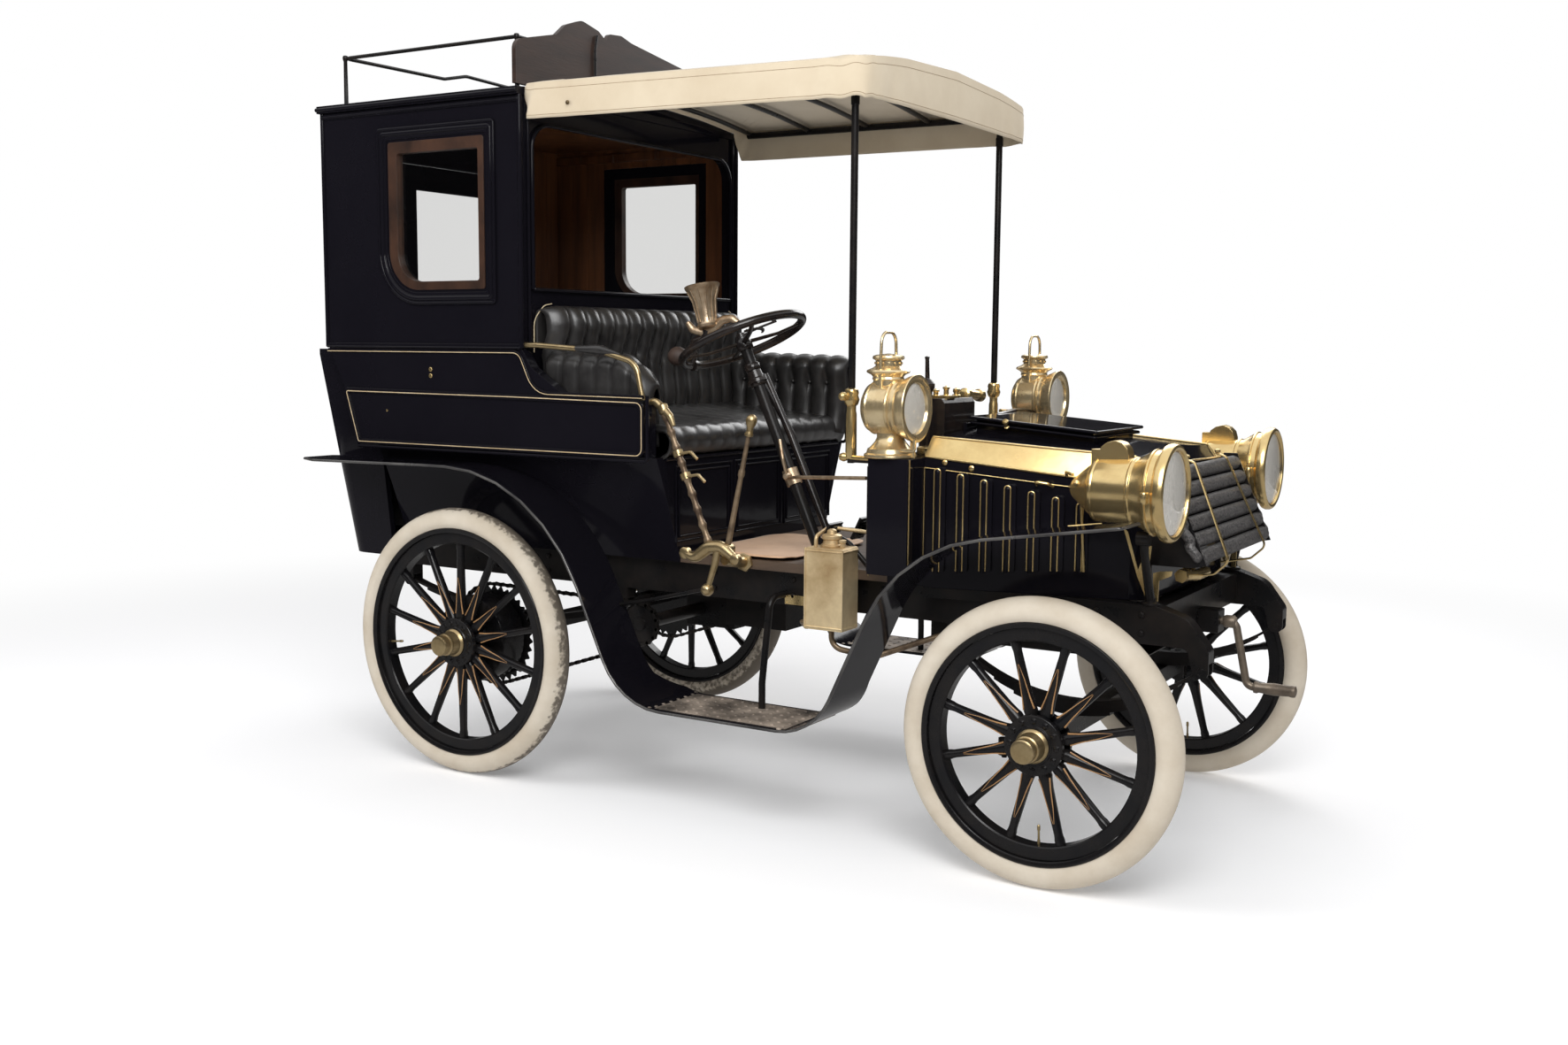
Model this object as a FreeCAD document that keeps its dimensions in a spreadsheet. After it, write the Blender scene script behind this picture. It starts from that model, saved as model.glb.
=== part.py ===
import FreeCAD, Part
import math
import os
import re
from FreeCAD import Placement, Rotation, Vector

# A brass era motor car with a rear-entrance limousine body.
# X points forward, Y to the car's left and Z up.  The origin lies on the ground
# below the middle of the car's length; every sub-part is drawn from the rear
# axle and then moved there as a whole.

doc = FreeCAD.newDocument("brass_era_car")
sheet = doc.addObject("Spreadsheet::Sheet", "Sizes")

# name, millimetres (or degrees or a count), meaning
SIZES = (
    ("wheelbase", 2114, "front axle ahead of the rear axle"),
    ("half_track", 690, "wheel plane from the centre line"),
    ("front_reach", 526, "front axle to the crank's grip"),
    ("rear_reach", 845, "rear axle to the back of the tonneau"),
    ("front_tyre_radius", 405, "front tyre on the ground"),
    ("rear_tyre_radius", 460, "rear tyre on the ground"),
    ("tyre_section", 90, "width of every tyre"),
    ("rim_depth", 75, "tyre's tread to its rim"),
    ("front_spokes", 12, "spokes in a front wheel"),
    ("rear_spokes", 14, "spokes in a rear wheel"),
    ("stub_radius", 20, "axle's end in a hub"),
    ("running_gap", 0.3, "clearance of a turning fit"),
    ("hub_inside", 75, "front hub's inner end from the wheel plane"),
    ("drum_inside", 178, "rear hub's inner end from the wheel plane"),
    ("chain_half", 522, "chain line from the centre line"),
    ("hub_outside", 120, "hub cap's end from the wheel plane"),
    ("flange_radius", 95, "hub flange that clamps the spokes"),
    ("kingpin_half", 568, "kingpin from the centre line"),
    ("kingpin_radius", 10, "kingpin"),
    ("steer_arm", 150, "kingpin to the track rod's eye"),
    ("frame_base", 660, "underside of the chassis rails"),
    ("frame_height", 110, "depth of the chassis rails"),
    ("frame_half", 440, "outer face of the chassis rails"),
    ("rail_width", 50, "thickness of a chassis rail"),
    ("spring_eye", 600, "height of the spring eyes"),
    ("spring_width", 36, "width of a leaf"),
    ("floor_thickness", 30, "floor boards"),
    ("body_half", 646, "half width of the body"),
    ("wall", 30, "cabin wall"),
    ("belt_height", 1463, "belt line"),
    ("roof_height", 2310, "cabin's cornice"),
    ("cabin_front_x", 245, "front of the cabin"),
    ("cabin_rear_x", -671, "rear wall of the cabin"),
    ("seat_front_x", 766, "front edge of the driver's seat box"),
    ("waist_height", 1119, "body side's lower moulding and the seat box"),
    ("cushion_height", 75, "driver's cushion"),
    ("dash_x", 1532, "rear edge of the dashboard"),
    ("dash_depth", 130, "dashboard box front to back"),
    ("dash_half", 610, "half width of the dashboard"),
    ("dash_height", 1155, "top of the dashboard"),
    ("hood_front_x", 2250, "front edge of the hood's straight part"),
    ("fender_outer", 760, "outer edge of a fender"),
    ("fender_thickness", 5, "fender sheet"),
    ("step_height", 340, "running step"),
    ("canopy_front_x", 1505, "front of the canopy"),
    ("canopy_height", 2309, "canopy's edge at the front"),
    ("valance", 110, "depth of the canopy's valance"),
    ("post_x", 1428, "canopy's front posts"),
    ("post_half", 525, "canopy's front posts from the centre line"),
    ("wheel_rake", 24, "steering column's lean in degrees"),
    ("driver_y", 350, "steering column from the centre line"),
    ("steering_radius", 220, "steering wheel"),
)
for row, (name, number, meaning) in enumerate(SIZES, 1):
    sheet.set("A%d" % row, meaning)
    sheet.set("B%d" % row, str(number))
    sheet.setAlias("B%d" % row, name)
doc.recompute()


class Sizes:
    """The sheet's numbers, read by name."""

    def __getattr__(self, name):
        return float(getattr(sheet, name))


v = Sizes()
NAMES = re.compile(r"\b(" + "|".join(sorted((n for n, _, _ in SIZES), key=len, reverse=True)) + r")\b")
X, Y, Z = Vector(1, 0, 0), Vector(0, 1, 0), Vector(0, 0, 1)
ORIGIN_SHIFT = "(rear_reach - wheelbase - front_reach) / 2"
FIT = 0.3
PARTS = []


def bind(piece, **rules):
    """Tie properties of a piece to formulas in the sheet's names."""
    for prop, formula in rules.items():
        prop = {"x": "Placement.Base.x", "y": "Placement.Base.y", "z": "Placement.Base.z"}.get(prop, prop)
        piece.setExpression(prop, NAMES.sub(r"Sizes.\1", str(formula)))
    return piece


def box(name, x, y, z, length, width, height):
    """A plain board or block from its lowest corner."""
    piece = doc.addObject("Part::Box", name)
    return bind(piece, x=x, y=y, z=z, Length=length, Width=width, Height=height)


def rod(name, x, y, z, radius, length, axis=Z):
    """A round bar that starts at a point and runs along an axis."""
    piece = doc.addObject("Part::Cylinder", name)
    piece.Placement = Placement(Vector(), Rotation(Z, axis))
    return bind(piece, x=x, y=y, z=z, Radius=radius, Height=length)


def joined(name, pieces):
    """Pieces fused into one, or a single piece in a group of its own."""
    if len(pieces) == 1:
        group = doc.addObject("Part::Compound", name)
        group.Links = pieces
        return group
    fusion = doc.addObject("Part::MultiFuse", name)
    fusion.Shapes = pieces
    return fusion


def without(name, base, tools):
    """A piece with others cut away from it."""
    cut = doc.addObject("Part::Cut", name)
    cut.Base, cut.Tool = base, joined(name + "_tools", tools)
    return cut


def finished(label, part):
    """One sub-part, moved from the rear axle's origin to the car's."""
    part.Label = label
    bind(part, x=ORIGIN_SHIFT)
    PARTS.append(part)


def whole(label, pieces):
    """One sub-part made of pieces that are fused or stand side by side."""
    finished(label, joined(label, pieces))


def shaped(name, shape):
    """A piece whose curved form is worked out from the sheet's numbers."""
    piece = doc.addObject("Part::Feature", name)
    bare = shape.copy()
    bare.Placement = Placement()
    piece.Shape = bare.transformed(shape.Placement.toMatrix(), True)
    return piece


def formed(label, shape):
    """One sub-part of a single curved form."""
    finished(label, shaped(label, shape))


def mirrored(shape):
    return shape.mirror(Vector(), Y)


def both(label, right):
    """A right-hand sub-part and its mirror image on the left."""
    formed(label + "_right", right)
    formed(label + "_left", mirrored(right))


def plate(outline, start, thickness, across=Y):
    """A flat outline made into a plate.  The outline's two numbers lie along X
    and Z for a plate that faces Y, along Y and Z for one that faces X, and along
    X and Y for one that faces Z.  A number after the two rounds that corner."""
    def lift(a, b):
        if across is Y:
            return Vector(a, start, b)
        if across is X:
            return Vector(start, a, b)
        return Vector(a, b, start)
    wire = rounded([(lift(*p[:2]), p[2] if len(p) > 2 else 0) for p in outline], True)
    return Part.Face(wire).extrude(across * thickness)


def rounded(corners, closed=False):
    """A wire of straight runs whose corners are tangent arcs."""
    edges = []
    count = len(corners)
    ends = []
    for i, (point, radius) in enumerate(corners):
        if radius and (closed or 0 < i < count - 1):
            back = (corners[i - 1][0] - point).normalize()
            ahead = (corners[(i + 1) % count][0] - point).normalize()
            half = math.acos(max(-1, min(1, back.dot(ahead)))) / 2
            reach = radius / math.tan(half)
            middle = point + (back + ahead).normalize() * (radius / math.sin(half) - radius)
            ends.append((point + back * reach, middle, point + ahead * reach))
        else:
            ends.append((point, None, point))
    for i, (enter, middle, leave) in enumerate(ends):
        if middle is not None:
            edges.append(Part.Arc(enter, middle, leave).toShape())
        if i < count - 1 or closed:
            after = ends[(i + 1) % count][0]
            if (after - leave).Length > 1e-6:
                edges.append(Part.LineSegment(leave, after).toShape())
    return Part.Wire(edges)


def bar(path, radius):
    """A round bar bent along straight runs and tangent arcs."""
    wire = rounded(path)
    first = wire.Edges[0]
    way = first.tangentAt(first.FirstParameter)
    disc = Part.Wire(Part.Circle(first.valueAt(first.FirstParameter), way, radius).toShape())
    solid = wire.makePipeShell([disc], True, False)
    if solid.Volume < 0:
        solid.reverse()
    return solid


def turned(profile, axis_point, axis):
    """A lathe-turned piece: the profile's numbers are the distance along the axis
    and the radius there."""
    side = Z if abs(axis.z) < 0.5 else X
    points = [axis_point + axis * a + side * r for a, r in profile]
    return Part.Face(Part.makePolygon(points + points[:1])).revolve(axis_point, axis, 360)


def cylinder(radius, length, x, y, z, axis):
    return Part.makeCylinder(radius, length, Vector(x, y, z), axis)


def block(x0, x1, y0, y1, z0, z1):
    return Part.makeBox(x1 - x0, y1 - y0, z1 - z0, Vector(x0, y0, z0))


def fused(*shapes):
    return shapes[0].multiFuse(list(shapes[1:]))


front_x = v.wheelbase
frame_top = v.frame_base + v.frame_height
frame_inner = v.frame_half - v.rail_width
floor_top = frame_top + v.floor_thickness
spring_y = v.frame_half - v.rail_width / 2

# ---------------------------------------------------------------- chassis frame
# Armoured wooden rails, cross members, dumb irons and the springs' hangers.
RAIL_REAR, RAIL_FRONT = -520, 2350
rails = []
for side in ("-frame_half", "frame_half - rail_width"):
    rails.append(box("rail", RAIL_REAR, side, "frame_base", RAIL_FRONT - RAIL_REAR, "rail_width",
                     "frame_height"))
for x in (RAIL_REAR, 300, 1000, 1560, RAIL_FRONT - 60):
    rails.append(box("cross_member", x, "-(frame_half - rail_width)", "frame_base + 10", 60,
                     "2 * (frame_half - rail_width)", "frame_height - 20"))
FRONT_EYE, FRONT_REAR_EYE, REAR_EYE = 2480, 1740, 500
irons = []


def slotted(iron, x, y):
    """Cut the leaf's slot and the eye bolt's hole at the end of an iron."""
    slot = block(x - 40, x + 40, y - v.spring_width / 2 - 0.5, y + v.spring_width / 2 + 0.5,
                 v.spring_eye - 40, v.spring_eye + 22)
    return iron.cut(slot.fuse(cylinder(10, 80, x, y - 40, v.spring_eye, Y)))


for sign in (-1, 1):
    y = sign * spring_y
    low = y - v.rail_width / 2
    eye = v.spring_eye
    iron = plate(((RAIL_FRONT, frame_top, 0), (FRONT_EYE - 40, frame_top - 30, 60),
                  (FRONT_EYE + 20, eye + 60, 30),
                  (FRONT_EYE + 20, eye - 20, 19), (FRONT_EYE - 20, eye - 20, 19),
                  (FRONT_EYE - 40, v.frame_base, 20), (RAIL_FRONT, v.frame_base, 0)), low, v.rail_width)
    irons.append(slotted(iron, FRONT_EYE, y))
    for x in (FRONT_REAR_EYE, -REAR_EYE, REAR_EYE):
        hanger = plate(((x - 22, v.frame_base), (x - 22, eye - 20, 19), (x + 22, eye - 20, 19),
                        (x + 22, v.frame_base)), low, v.rail_width)
        irons.append(slotted(hanger, x, y))
whole("chassis_frame", rails + [shaped("irons", Part.makeCompound(irons))])

# ---------------------------------------------------------------------- axles
axle = []
axle.append(box("front_beam", "wheelbase - 20", "-(kingpin_half - 20)", "front_tyre_radius - 25", 40,
                "2 * (kingpin_half - 20)", 50))
for side in ("-kingpin_half", "kingpin_half"):
    axle.append(rod("kingpin_boss", "wheelbase", side, "front_tyre_radius - 30", 24, 60))
holes = [rod("kingpin_hole", "wheelbase", side, "front_tyre_radius - 35", "kingpin_radius + running_gap", 70)
         for side in ("-kingpin_half", "kingpin_half")]
finished("front_axle", without("bored_beam", joined("beam", axle), holes))
rear = [box("rear_beam", -25, "-(half_track - drum_inside - 0.5)", "rear_tyre_radius - 25", 50,
            "2 * (half_track - drum_inside - 0.5)", 50)]
rear.append(rod("rear_stubs", 0, "-(half_track + 55)", "rear_tyre_radius", "stub_radius",
                "2 * (half_track + 55)", Y))
whole("rear_axle", rear)


# --------------------------------------------------------------------- springs
def leaf_spring(x0, x1, seat, leaves, leaf, sign):
    """A semi-elliptic pack hung from two eyes, its leaves shorter downwards."""
    middle, half = (x0 + x1) / 2, (x1 - x0) / 2
    y = sign * spring_y - v.spring_width / 2
    pieces = []
    for i in range(leaves):
        reach = half * (1 - i / (leaves + 0.8))
        drop = v.spring_eye - seat
        end = seat + drop * (reach / half) ** 2 - i * leaf
        low = seat - i * leaf
        up = Vector(0, 0, leaf)
        a, b, c = Vector(middle - reach, y, end), Vector(middle, y, low), Vector(middle + reach, y, end)
        wire = Part.Wire([Part.Arc(a, b, c).toShape(), Part.LineSegment(c, c + up).toShape(),
                          Part.Arc(c + up, b + up, a + up).toShape(), Part.LineSegment(a + up, a).toShape()])
        pieces.append(Part.Face(wire).extrude(Y * v.spring_width))
    for x in (x0, x1):
        pieces.append(cylinder(14, v.spring_width, x, y, v.spring_eye, Y))
        pieces.append(cylinder(9.7, v.rail_width, x, sign * spring_y - v.rail_width / 2, v.spring_eye, Y))
    return fused(*pieces)


LEAF = 9
LEAVES = 5
BEAM_TOP = 25
pack_depth = LEAF * (LEAVES - 1)
packs = []
for sign in (-1, 1):
    for x0, x1, axle_height in ((FRONT_REAR_EYE, FRONT_EYE, v.front_tyre_radius),
                                (-REAR_EYE, REAR_EYE, v.rear_tyre_radius)):
        packs.append(leaf_spring(x0, x1, axle_height + BEAM_TOP + pack_depth, LEAVES, LEAF, sign))
formed("leaf_springs", Part.makeCompound(packs))

# -------------------------------------------------------------- steered knuckles
arm_y = v.kingpin_half
hub_face = v.half_track - v.hub_inside


def knuckle():
    """Right-hand fork on its kingpin, with the stub axle and the steering arm."""
    y, z = -v.kingpin_half, v.front_tyre_radius
    lugs = fused(cylinder(24, 16, front_x, y, z + 30.3, Z), cylinder(24, 16, front_x, y, z - 46.3, Z))
    web = block(front_x - 20, front_x + 20, -hub_face + 0.5, y - 5, z + 30.3, z + 46.3)
    low = block(front_x - 20, front_x + 20, -hub_face + 0.5, y - 5, z - 46.3, z - 30.3)
    back = block(front_x - 20, front_x + 20, -hub_face + 0.5, y - 28, z - 46.3, z + 46.3)
    pin = cylinder(v.kingpin_radius, 100, front_x, y, z - 50, Z)
    stub = cylinder(v.stub_radius, v.half_track + 55 - v.kingpin_half - 30, front_x, y - 30, z, Y * -1)
    arm = block(front_x - v.steer_arm, front_x, -arm_y - 12, -arm_y + 12, z - 46.3, z - 34.3)
    eye = cylinder(18, 12, front_x - v.steer_arm, -arm_y, z - 46.3, Z)
    ball = cylinder(8, 44, front_x - v.steer_arm, -arm_y, z - 90, Z)
    return fused(lugs, web, low, back, pin, stub, arm, eye, ball).removeSplitter()


both("knuckle", knuckle())

rod_z = v.front_tyre_radius - 72
ends = [cylinder(18, 20, front_x - v.steer_arm, sign * arm_y, rod_z - 10, Z) for sign in (-1, 1)]
tie = fused(cylinder(11, 2 * arm_y - 20, front_x - v.steer_arm, -arm_y + 10, rod_z, Y), *ends)
for sign, bore in ((-1, 8.3), (1, 11)):
    tie = tie.cut(cylinder(bore, 60, front_x - v.steer_arm, sign * arm_y, rod_z - 30, Z))
formed("track_rod", tie)


# ---------------------------------------------------------------------- wheels
CAP_RADIUS = 33


def ring_of(sides, radius, height):
    """A regular outline that lies flat at a height."""
    corners = [Vector(radius * math.cos(2 * math.pi * (i + 0.5) / sides),
                      radius * math.sin(2 * math.pi * (i + 0.5) / sides), height) for i in range(sides)]
    return Part.makePolygon(corners + corners[:1])


RIM_SIDES = 48
SPROCKET_TEETH, TOOTH_TIP, TOOTH_ROOT = 34, 165, 156


def rim_line(radius, y):
    """A closed many-sided rim about the wheel's axis, with one corner on the ground."""
    turns = [2 * math.pi * i / RIM_SIDES for i in range(RIM_SIDES)]
    corners = [Vector(radius * math.sin(a), y, -radius * math.cos(a)) for a in turns]
    return Part.makePolygon(corners + corners[:1])


def hoop(radius, inner, width):
    """A flat-sided hoop between two radii, centred on the wheel's plane."""
    outer, hole = [Part.Face(rim_line(r, -width / 2)).extrude(Y * width) for r in (radius, inner)]
    return outer.cut(hole)


def sprocket(teeth, root, tip, thickness, y):
    """A toothed plate about the Y axis."""
    corners = []
    for i in range(teeth):
        for share, radius in ((0.0, root), (0.3, root), (0.5, tip), (0.8, tip)):
            turn = 2 * math.pi * (i + share) / teeth
            corners.append(Vector(radius * math.cos(turn), y, radius * math.sin(turn)))
    return Part.Face(Part.makePolygon(corners + corners[:1])).extrude(Y * thickness)


def wooden_wheel(radius, spokes, reach, drum):
    """An artillery wheel about the Y axis: rim, felloe, spokes, hub and cap."""
    rim, rim_wall, felloe_depth = radius - v.rim_depth, 9, 37
    pieces = [hoop(rim, rim - rim_wall, 66), hoop(rim - rim_wall, rim - rim_wall - felloe_depth, 48)]
    for i in range(spokes):
        spoke = Part.makeLoft([ring_of(8, 17, 60), ring_of(8, 12.5, rim - 40)], True, True)
        spoke.rotate(Vector(), Y, 360 * (i + 0.5) / spokes)
        pieces.append(spoke)
    flange, collar, barrel = v.flange_radius, 48, 38
    pieces.append(turned((
        (-reach, 0), (-reach, 40), (-40, 44), (-40, flange), (40, flange), (40, collar), (52, collar - 2),
        (52, barrel + 2), (78, barrel), (78, CAP_RADIUS), (v.hub_outside - 4, CAP_RADIUS),
        (v.hub_outside, CAP_RADIUS - 4), (v.hub_outside, 0)), Vector(), Y * -1))
    if drum:
        chain_plane, drum_radius, drum_wall = v.half_track - v.chain_half, 150, 12
        shell = cylinder(drum_radius, chain_plane - 20, 0, 24, 0, Y)
        pieces.append(shell.cut(cylinder(drum_radius - drum_wall, chain_plane - 30, 0, 24, 0, Y)))
        pieces.append(sprocket(SPROCKET_TEETH, TOOTH_ROOT, TOOTH_TIP, 8, chain_plane - 4))
    wheel = fused(*pieces)
    return wheel.cut(cylinder(v.stub_radius + v.running_gap, reach + 58, 0, -58, 0, Y))


def tyre(radius):
    """A round-shouldered tyre that sits on the flat sides of its rim."""
    half, rim = v.tyre_section / 2, radius - v.rim_depth
    profile = ((-33, rim), (-half, radius - half), (7 - half, radius - 17), (-14, radius), (14, radius),
               (half - 7, radius - 17), (half, radius - half), (33, rim))
    solid = Part.makeLoft([rim_line(r, y) for y, r in profile], True, True)
    return solid.cut(Part.Face(rim_line(rim, -half)).extrude(Y * v.tyre_section))


def wheel_set(name, x, radius, spokes, reach, drum):
    wheel, ring = wooden_wheel(radius, int(spokes), reach, drum), tyre(radius)
    place = Vector(x, -v.half_track, radius)
    wheel.translate(place)
    ring.translate(place)
    both(name + "_wheel", wheel)
    both(name + "_tyre", ring)


wheel_set("front", front_x, v.front_tyre_radius, v.front_spokes, v.hub_inside, False)
wheel_set("rear", 0, v.rear_tyre_radius, v.rear_spokes, v.drum_inside, True)

# ------------------------------------------------------- engine, gears and chains
SHAFT_X, SHAFT_Z, SPROCKET = 640, 560, 62
LINK_PITCH, CHAIN_WIDTH = 32, 16
drive = [box("engine_block", 1760, -160, "frame_base + 10", 420, 320, 380)]
drive.append(box("gear_case", 760, -190, "frame_base - 140", 240, 380, "frame_height + 120"))
drive.append(rod("countershaft", SHAFT_X, "-(chain_half + 10)", SHAFT_Z, 22, "2 * (chain_half + 10)", Y))
drive.append(box("shaft_casing", SHAFT_X - 60, -170, SHAFT_Z - 60, 200, 340, 120))
for side in ("-(chain_half + 4)", "chain_half - 4"):
    drive.append(rod("sprocket", SHAFT_X, side, SHAFT_Z, SPROCKET, 8, Y))
for sign in (-1, 1):
    drive.append(box("engine_bearer", 1780, -160 if sign < 0 else 100, "frame_base + 10", 60, 60, 60))
drive.append(box("bearer", 1900, "-(frame_half - rail_width)", "frame_base + 30", 60,
                 "2 * (frame_half - rail_width)", 50))
drive.append(box("gear_bearer", 860, "-(frame_half - rail_width)", "frame_base + 30", 60,
                 "2 * (frame_half - rail_width)", 50))
whole("engine_and_gears", drive)


def chain(sign):
    """One closed loop of waisted links round both sprockets."""
    big, small, half_link, waist = TOOTH_TIP + 12, SPROCKET + 6, 6, 4
    centre, shaft = Vector(0, 0, v.rear_tyre_radius), Vector(SHAFT_X, 0, SHAFT_Z)
    way = shaft - centre
    lean, tilt = math.asin((big - small) / way.Length), math.atan2(way.z, way.x)
    run = way.Length * math.cos(lean)
    wrap_big, wrap_small = (math.pi + 2 * lean) * big, (math.pi - 2 * lean) * small
    length = 2 * run + wrap_big + wrap_small
    links = round(length / LINK_PITCH)

    def pitch_line(far):
        """The pitch line's point and outward normal at a distance along it."""
        up, down = tilt + math.pi / 2 - lean, tilt - math.pi / 2 + lean
        if far < wrap_big:
            turn = up + far / big
            hub, radius, slide = centre, big, 0
        elif far < wrap_big + run:
            turn, hub, radius, slide = down, centre, big, far - wrap_big
        elif far < wrap_big + run + wrap_small:
            turn = down + (far - wrap_big - run) / small
            hub, radius, slide = shaft, small, 0
        else:
            turn, hub, radius, slide = up, shaft, small, far - wrap_big - run - wrap_small
        out = Vector(math.cos(turn), 0, math.sin(turn))
        return hub + out * radius + Vector(-out.z, 0, out.x) * slide, out

    edges = {1: [], -1: []}
    for i in range(2 * links):
        point, out = pitch_line(length * i / (2 * links))
        for side in edges:
            edges[side].append(point + out * (side * (waist if i % 2 else half_link)))
    outer, inner = [Part.Face(Part.makePolygon(edges[side] + edges[side][:1])).extrude(Y * CHAIN_WIDTH)
                    for side in (1, -1)]
    band = outer.cut(inner)
    band.translate(Vector(0, sign * v.chain_half - CHAIN_WIDTH / 2, 0))
    return band


formed("drive_chains", Part.makeCompound([chain(-1), chain(1)]))

# ------------------------------------------------------------------- lower body
# The sides turn under from the moulded panels to the frame.
BODY_REAR, WAIST = -470, v.waist_height
SILL_HALF = v.frame_half + 33
side_inner = v.body_half - 40


def turn_under(inset, x):
    """The top, middle and foot of the turned-under wall's outer face at one place."""
    return (Vector(x, -side_inner + inset, WAIST), Vector(x, -552 + inset, 990),
            Vector(x, -SILL_HALF + inset, frame_top))


def lower_wall(x0, x1):
    """The right-hand turned-under wall between the frame and the moulded panel."""
    top, middle, foot = turn_under(0, x0)
    inner_top, inner_middle, inner_foot = turn_under(LINING, x0)
    wire = Part.Wire([Part.Arc(top, middle, foot).toShape(), Part.LineSegment(foot, inner_foot).toShape(),
                      Part.Arc(inner_foot, inner_middle, inner_top).toShape(),
                      Part.LineSegment(inner_top, top).toShape()])
    return Part.Face(wire).extrude(X * (x1 - x0))


def section_plate(x0, x1, top):
    """A cross board that fills the turned-under section between the walls."""
    right = turn_under(LINING + FIT, x0)
    left = [Vector(p.x, -p.y, p.z) for p in right]
    wire = Part.Wire([Part.Arc(*right).toShape(), Part.LineSegment(right[2], left[2]).toShape(),
                      Part.Arc(*reversed(left)).toShape(), Part.LineSegment(left[0], right[0]).toShape()])
    board = Part.Face(wire).extrude(X * (x1 - x0))
    board = board.cut(block(x0, x1, -v.body_half, v.body_half, 0, floor_top))
    if top > WAIST:
        half = side_inner - LINING - FIT
        board = board.fuse(block(x0, x1, -half, half, WAIST, top))
    return board.removeSplitter()


LINING = 24
MOULDING, PROUD = 16, 6


def moulding(outline, inner, y):
    """A raised moulding on the right-hand side, between two outlines."""
    return plate(outline, y - PROUD, PROUD).cut(plate(inner, y - PROUD, PROUD))


panel = plate(((v.cabin_rear_x + 4, v.belt_height), (-583, 1300), (-526, WAIST), (748, WAIST, 30),
               (748, 1303, 60),
               (430, 1308, 120), (v.cabin_front_x + 40, 1400, 60), (v.cabin_front_x, v.belt_height)),
              -v.body_half, 40)
lining = plate(((v.cabin_rear_x + 4, v.belt_height), (-583, 1300), (-526, WAIST), (748, WAIST), (748, 1300),
                (v.cabin_front_x, 1300), (v.cabin_front_x, v.belt_height)), -side_inner, LINING)
panel_outline = ((-590, 1318, 8), (748, 1303, 30), (748, WAIST, 30), (-530, WAIST, 8))
panel_inside = ((-570, 1318 - MOULDING, 6), (748 - MOULDING, 1303 - MOULDING, 22),
                (748 - MOULDING, WAIST + MOULDING, 20), (-518, WAIST + MOULDING, 6))
raised = moulding(panel_outline, panel_inside, -v.body_half)
body_side = fused(panel, lower_wall(BODY_REAR, v.seat_front_x), lining, raised).removeSplitter()
both("body_side", body_side)
floor_half = SILL_HALF - 24
boards = []
for start, overhang in ((str(BODY_REAR), floor_half - v.frame_half),
                        ("seat_front_x", SILL_HALF - v.frame_half)):
    half = "(frame_half + %g)" % overhang
    boards.append(box("boards", start, "-" + half, "frame_base + frame_height", "dash_x - (%s)" % start,
                      "2 * " + half, "floor_thickness"))
whole("floor", boards)

# ----------------------------------------------------------------------- tonneau
TONNEAU_WALL, DOOR_HALF, TONNEAU_TOP = 22, 300, 1435
TONNEAU_BASE, LOW_HALF = 700, 525
HIGH_HALF = side_inner - LINING - FIT


def tonneau_ring(z, front, rear, half, inset):
    pts = [(Vector(front, -half + inset, z), 0), (Vector(rear + inset, -half + inset, z), 90 - inset),
           (Vector(rear + inset, half - inset, z), 90 - inset), (Vector(front, half - inset, z), 0)]
    return rounded(pts, True)


def tonneau_solid(inset):
    low = tonneau_ring(TONNEAU_BASE, -489, -725, LOW_HALF, inset)
    high = tonneau_ring(TONNEAU_TOP, -520, -v.rear_reach, HIGH_HALF, inset)
    return Part.makeLoft([low, high], True, True)


shell = tonneau_solid(0).cut(tonneau_solid(TONNEAU_WALL))
cap = Part.Face(tonneau_ring(TONNEAU_TOP, v.cabin_rear_x, -v.rear_reach, HIGH_HALF, 0)).extrude(Z * 20)
tonneau = fused(shell, cap)
hinge_foot = Vector(-725, DOOR_HALF + 2.5, TONNEAU_BASE)
hinge_head = Vector(-v.rear_reach, DOOR_HALF + 2.5, TONNEAU_TOP)
hinge_way = (hinge_head - hinge_foot).normalize()
hinge_out = Vector(-hinge_way.z, 0, hinge_way.x)
HINGE_OFF, PIN, BARREL = 9, 5, 9


def door_hinge(at, way, out, length=60):
    """A strap hinge: its fixed leaf with the pin, and the leaf that swings."""
    side = Y
    third = length / 3
    start = at + out * HINGE_OFF - way * (length / 2)
    pin = Part.makeCylinder(PIN, length, start, way)
    fixed, moving = [pin], []
    for i in range(3):
        barrel = Part.makeCylinder(BARREL, third - 2 * FIT, start + way * (third * i + FIT), way)
        (moving if i == 1 else fixed).append(barrel)

    def strap(width, thickness):
        """A flat strap on the panel, beside the hinge's line."""
        low, high = at - way * (length / 2), at + way * (length / 2)
        return Part.Face(Part.makePolygon([low, high, high + side * width, low + side * width, low])
                         ).extrude(out * thickness)

    leaf, web = strap(60, 4), strap(12, HINGE_OFF)
    middle = Part.makeCylinder(BARREL + 1.5, third, start + way * third, way)
    outer = [Part.makeCylinder(BARREL + 1.5, third, start + way * third * i, way) for i in (0, 2)]
    fixed = fused(*fixed, leaf.cut(middle), web.cut(middle))
    mirror_leaf = leaf.mirror(at, side).fuse(web.mirror(at, side))
    bore = Part.makeCylinder(PIN + FIT, length, start, way)
    return fixed, fused(*moving, mirror_leaf.cut(fused(*outer))).cut(bore)


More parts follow.
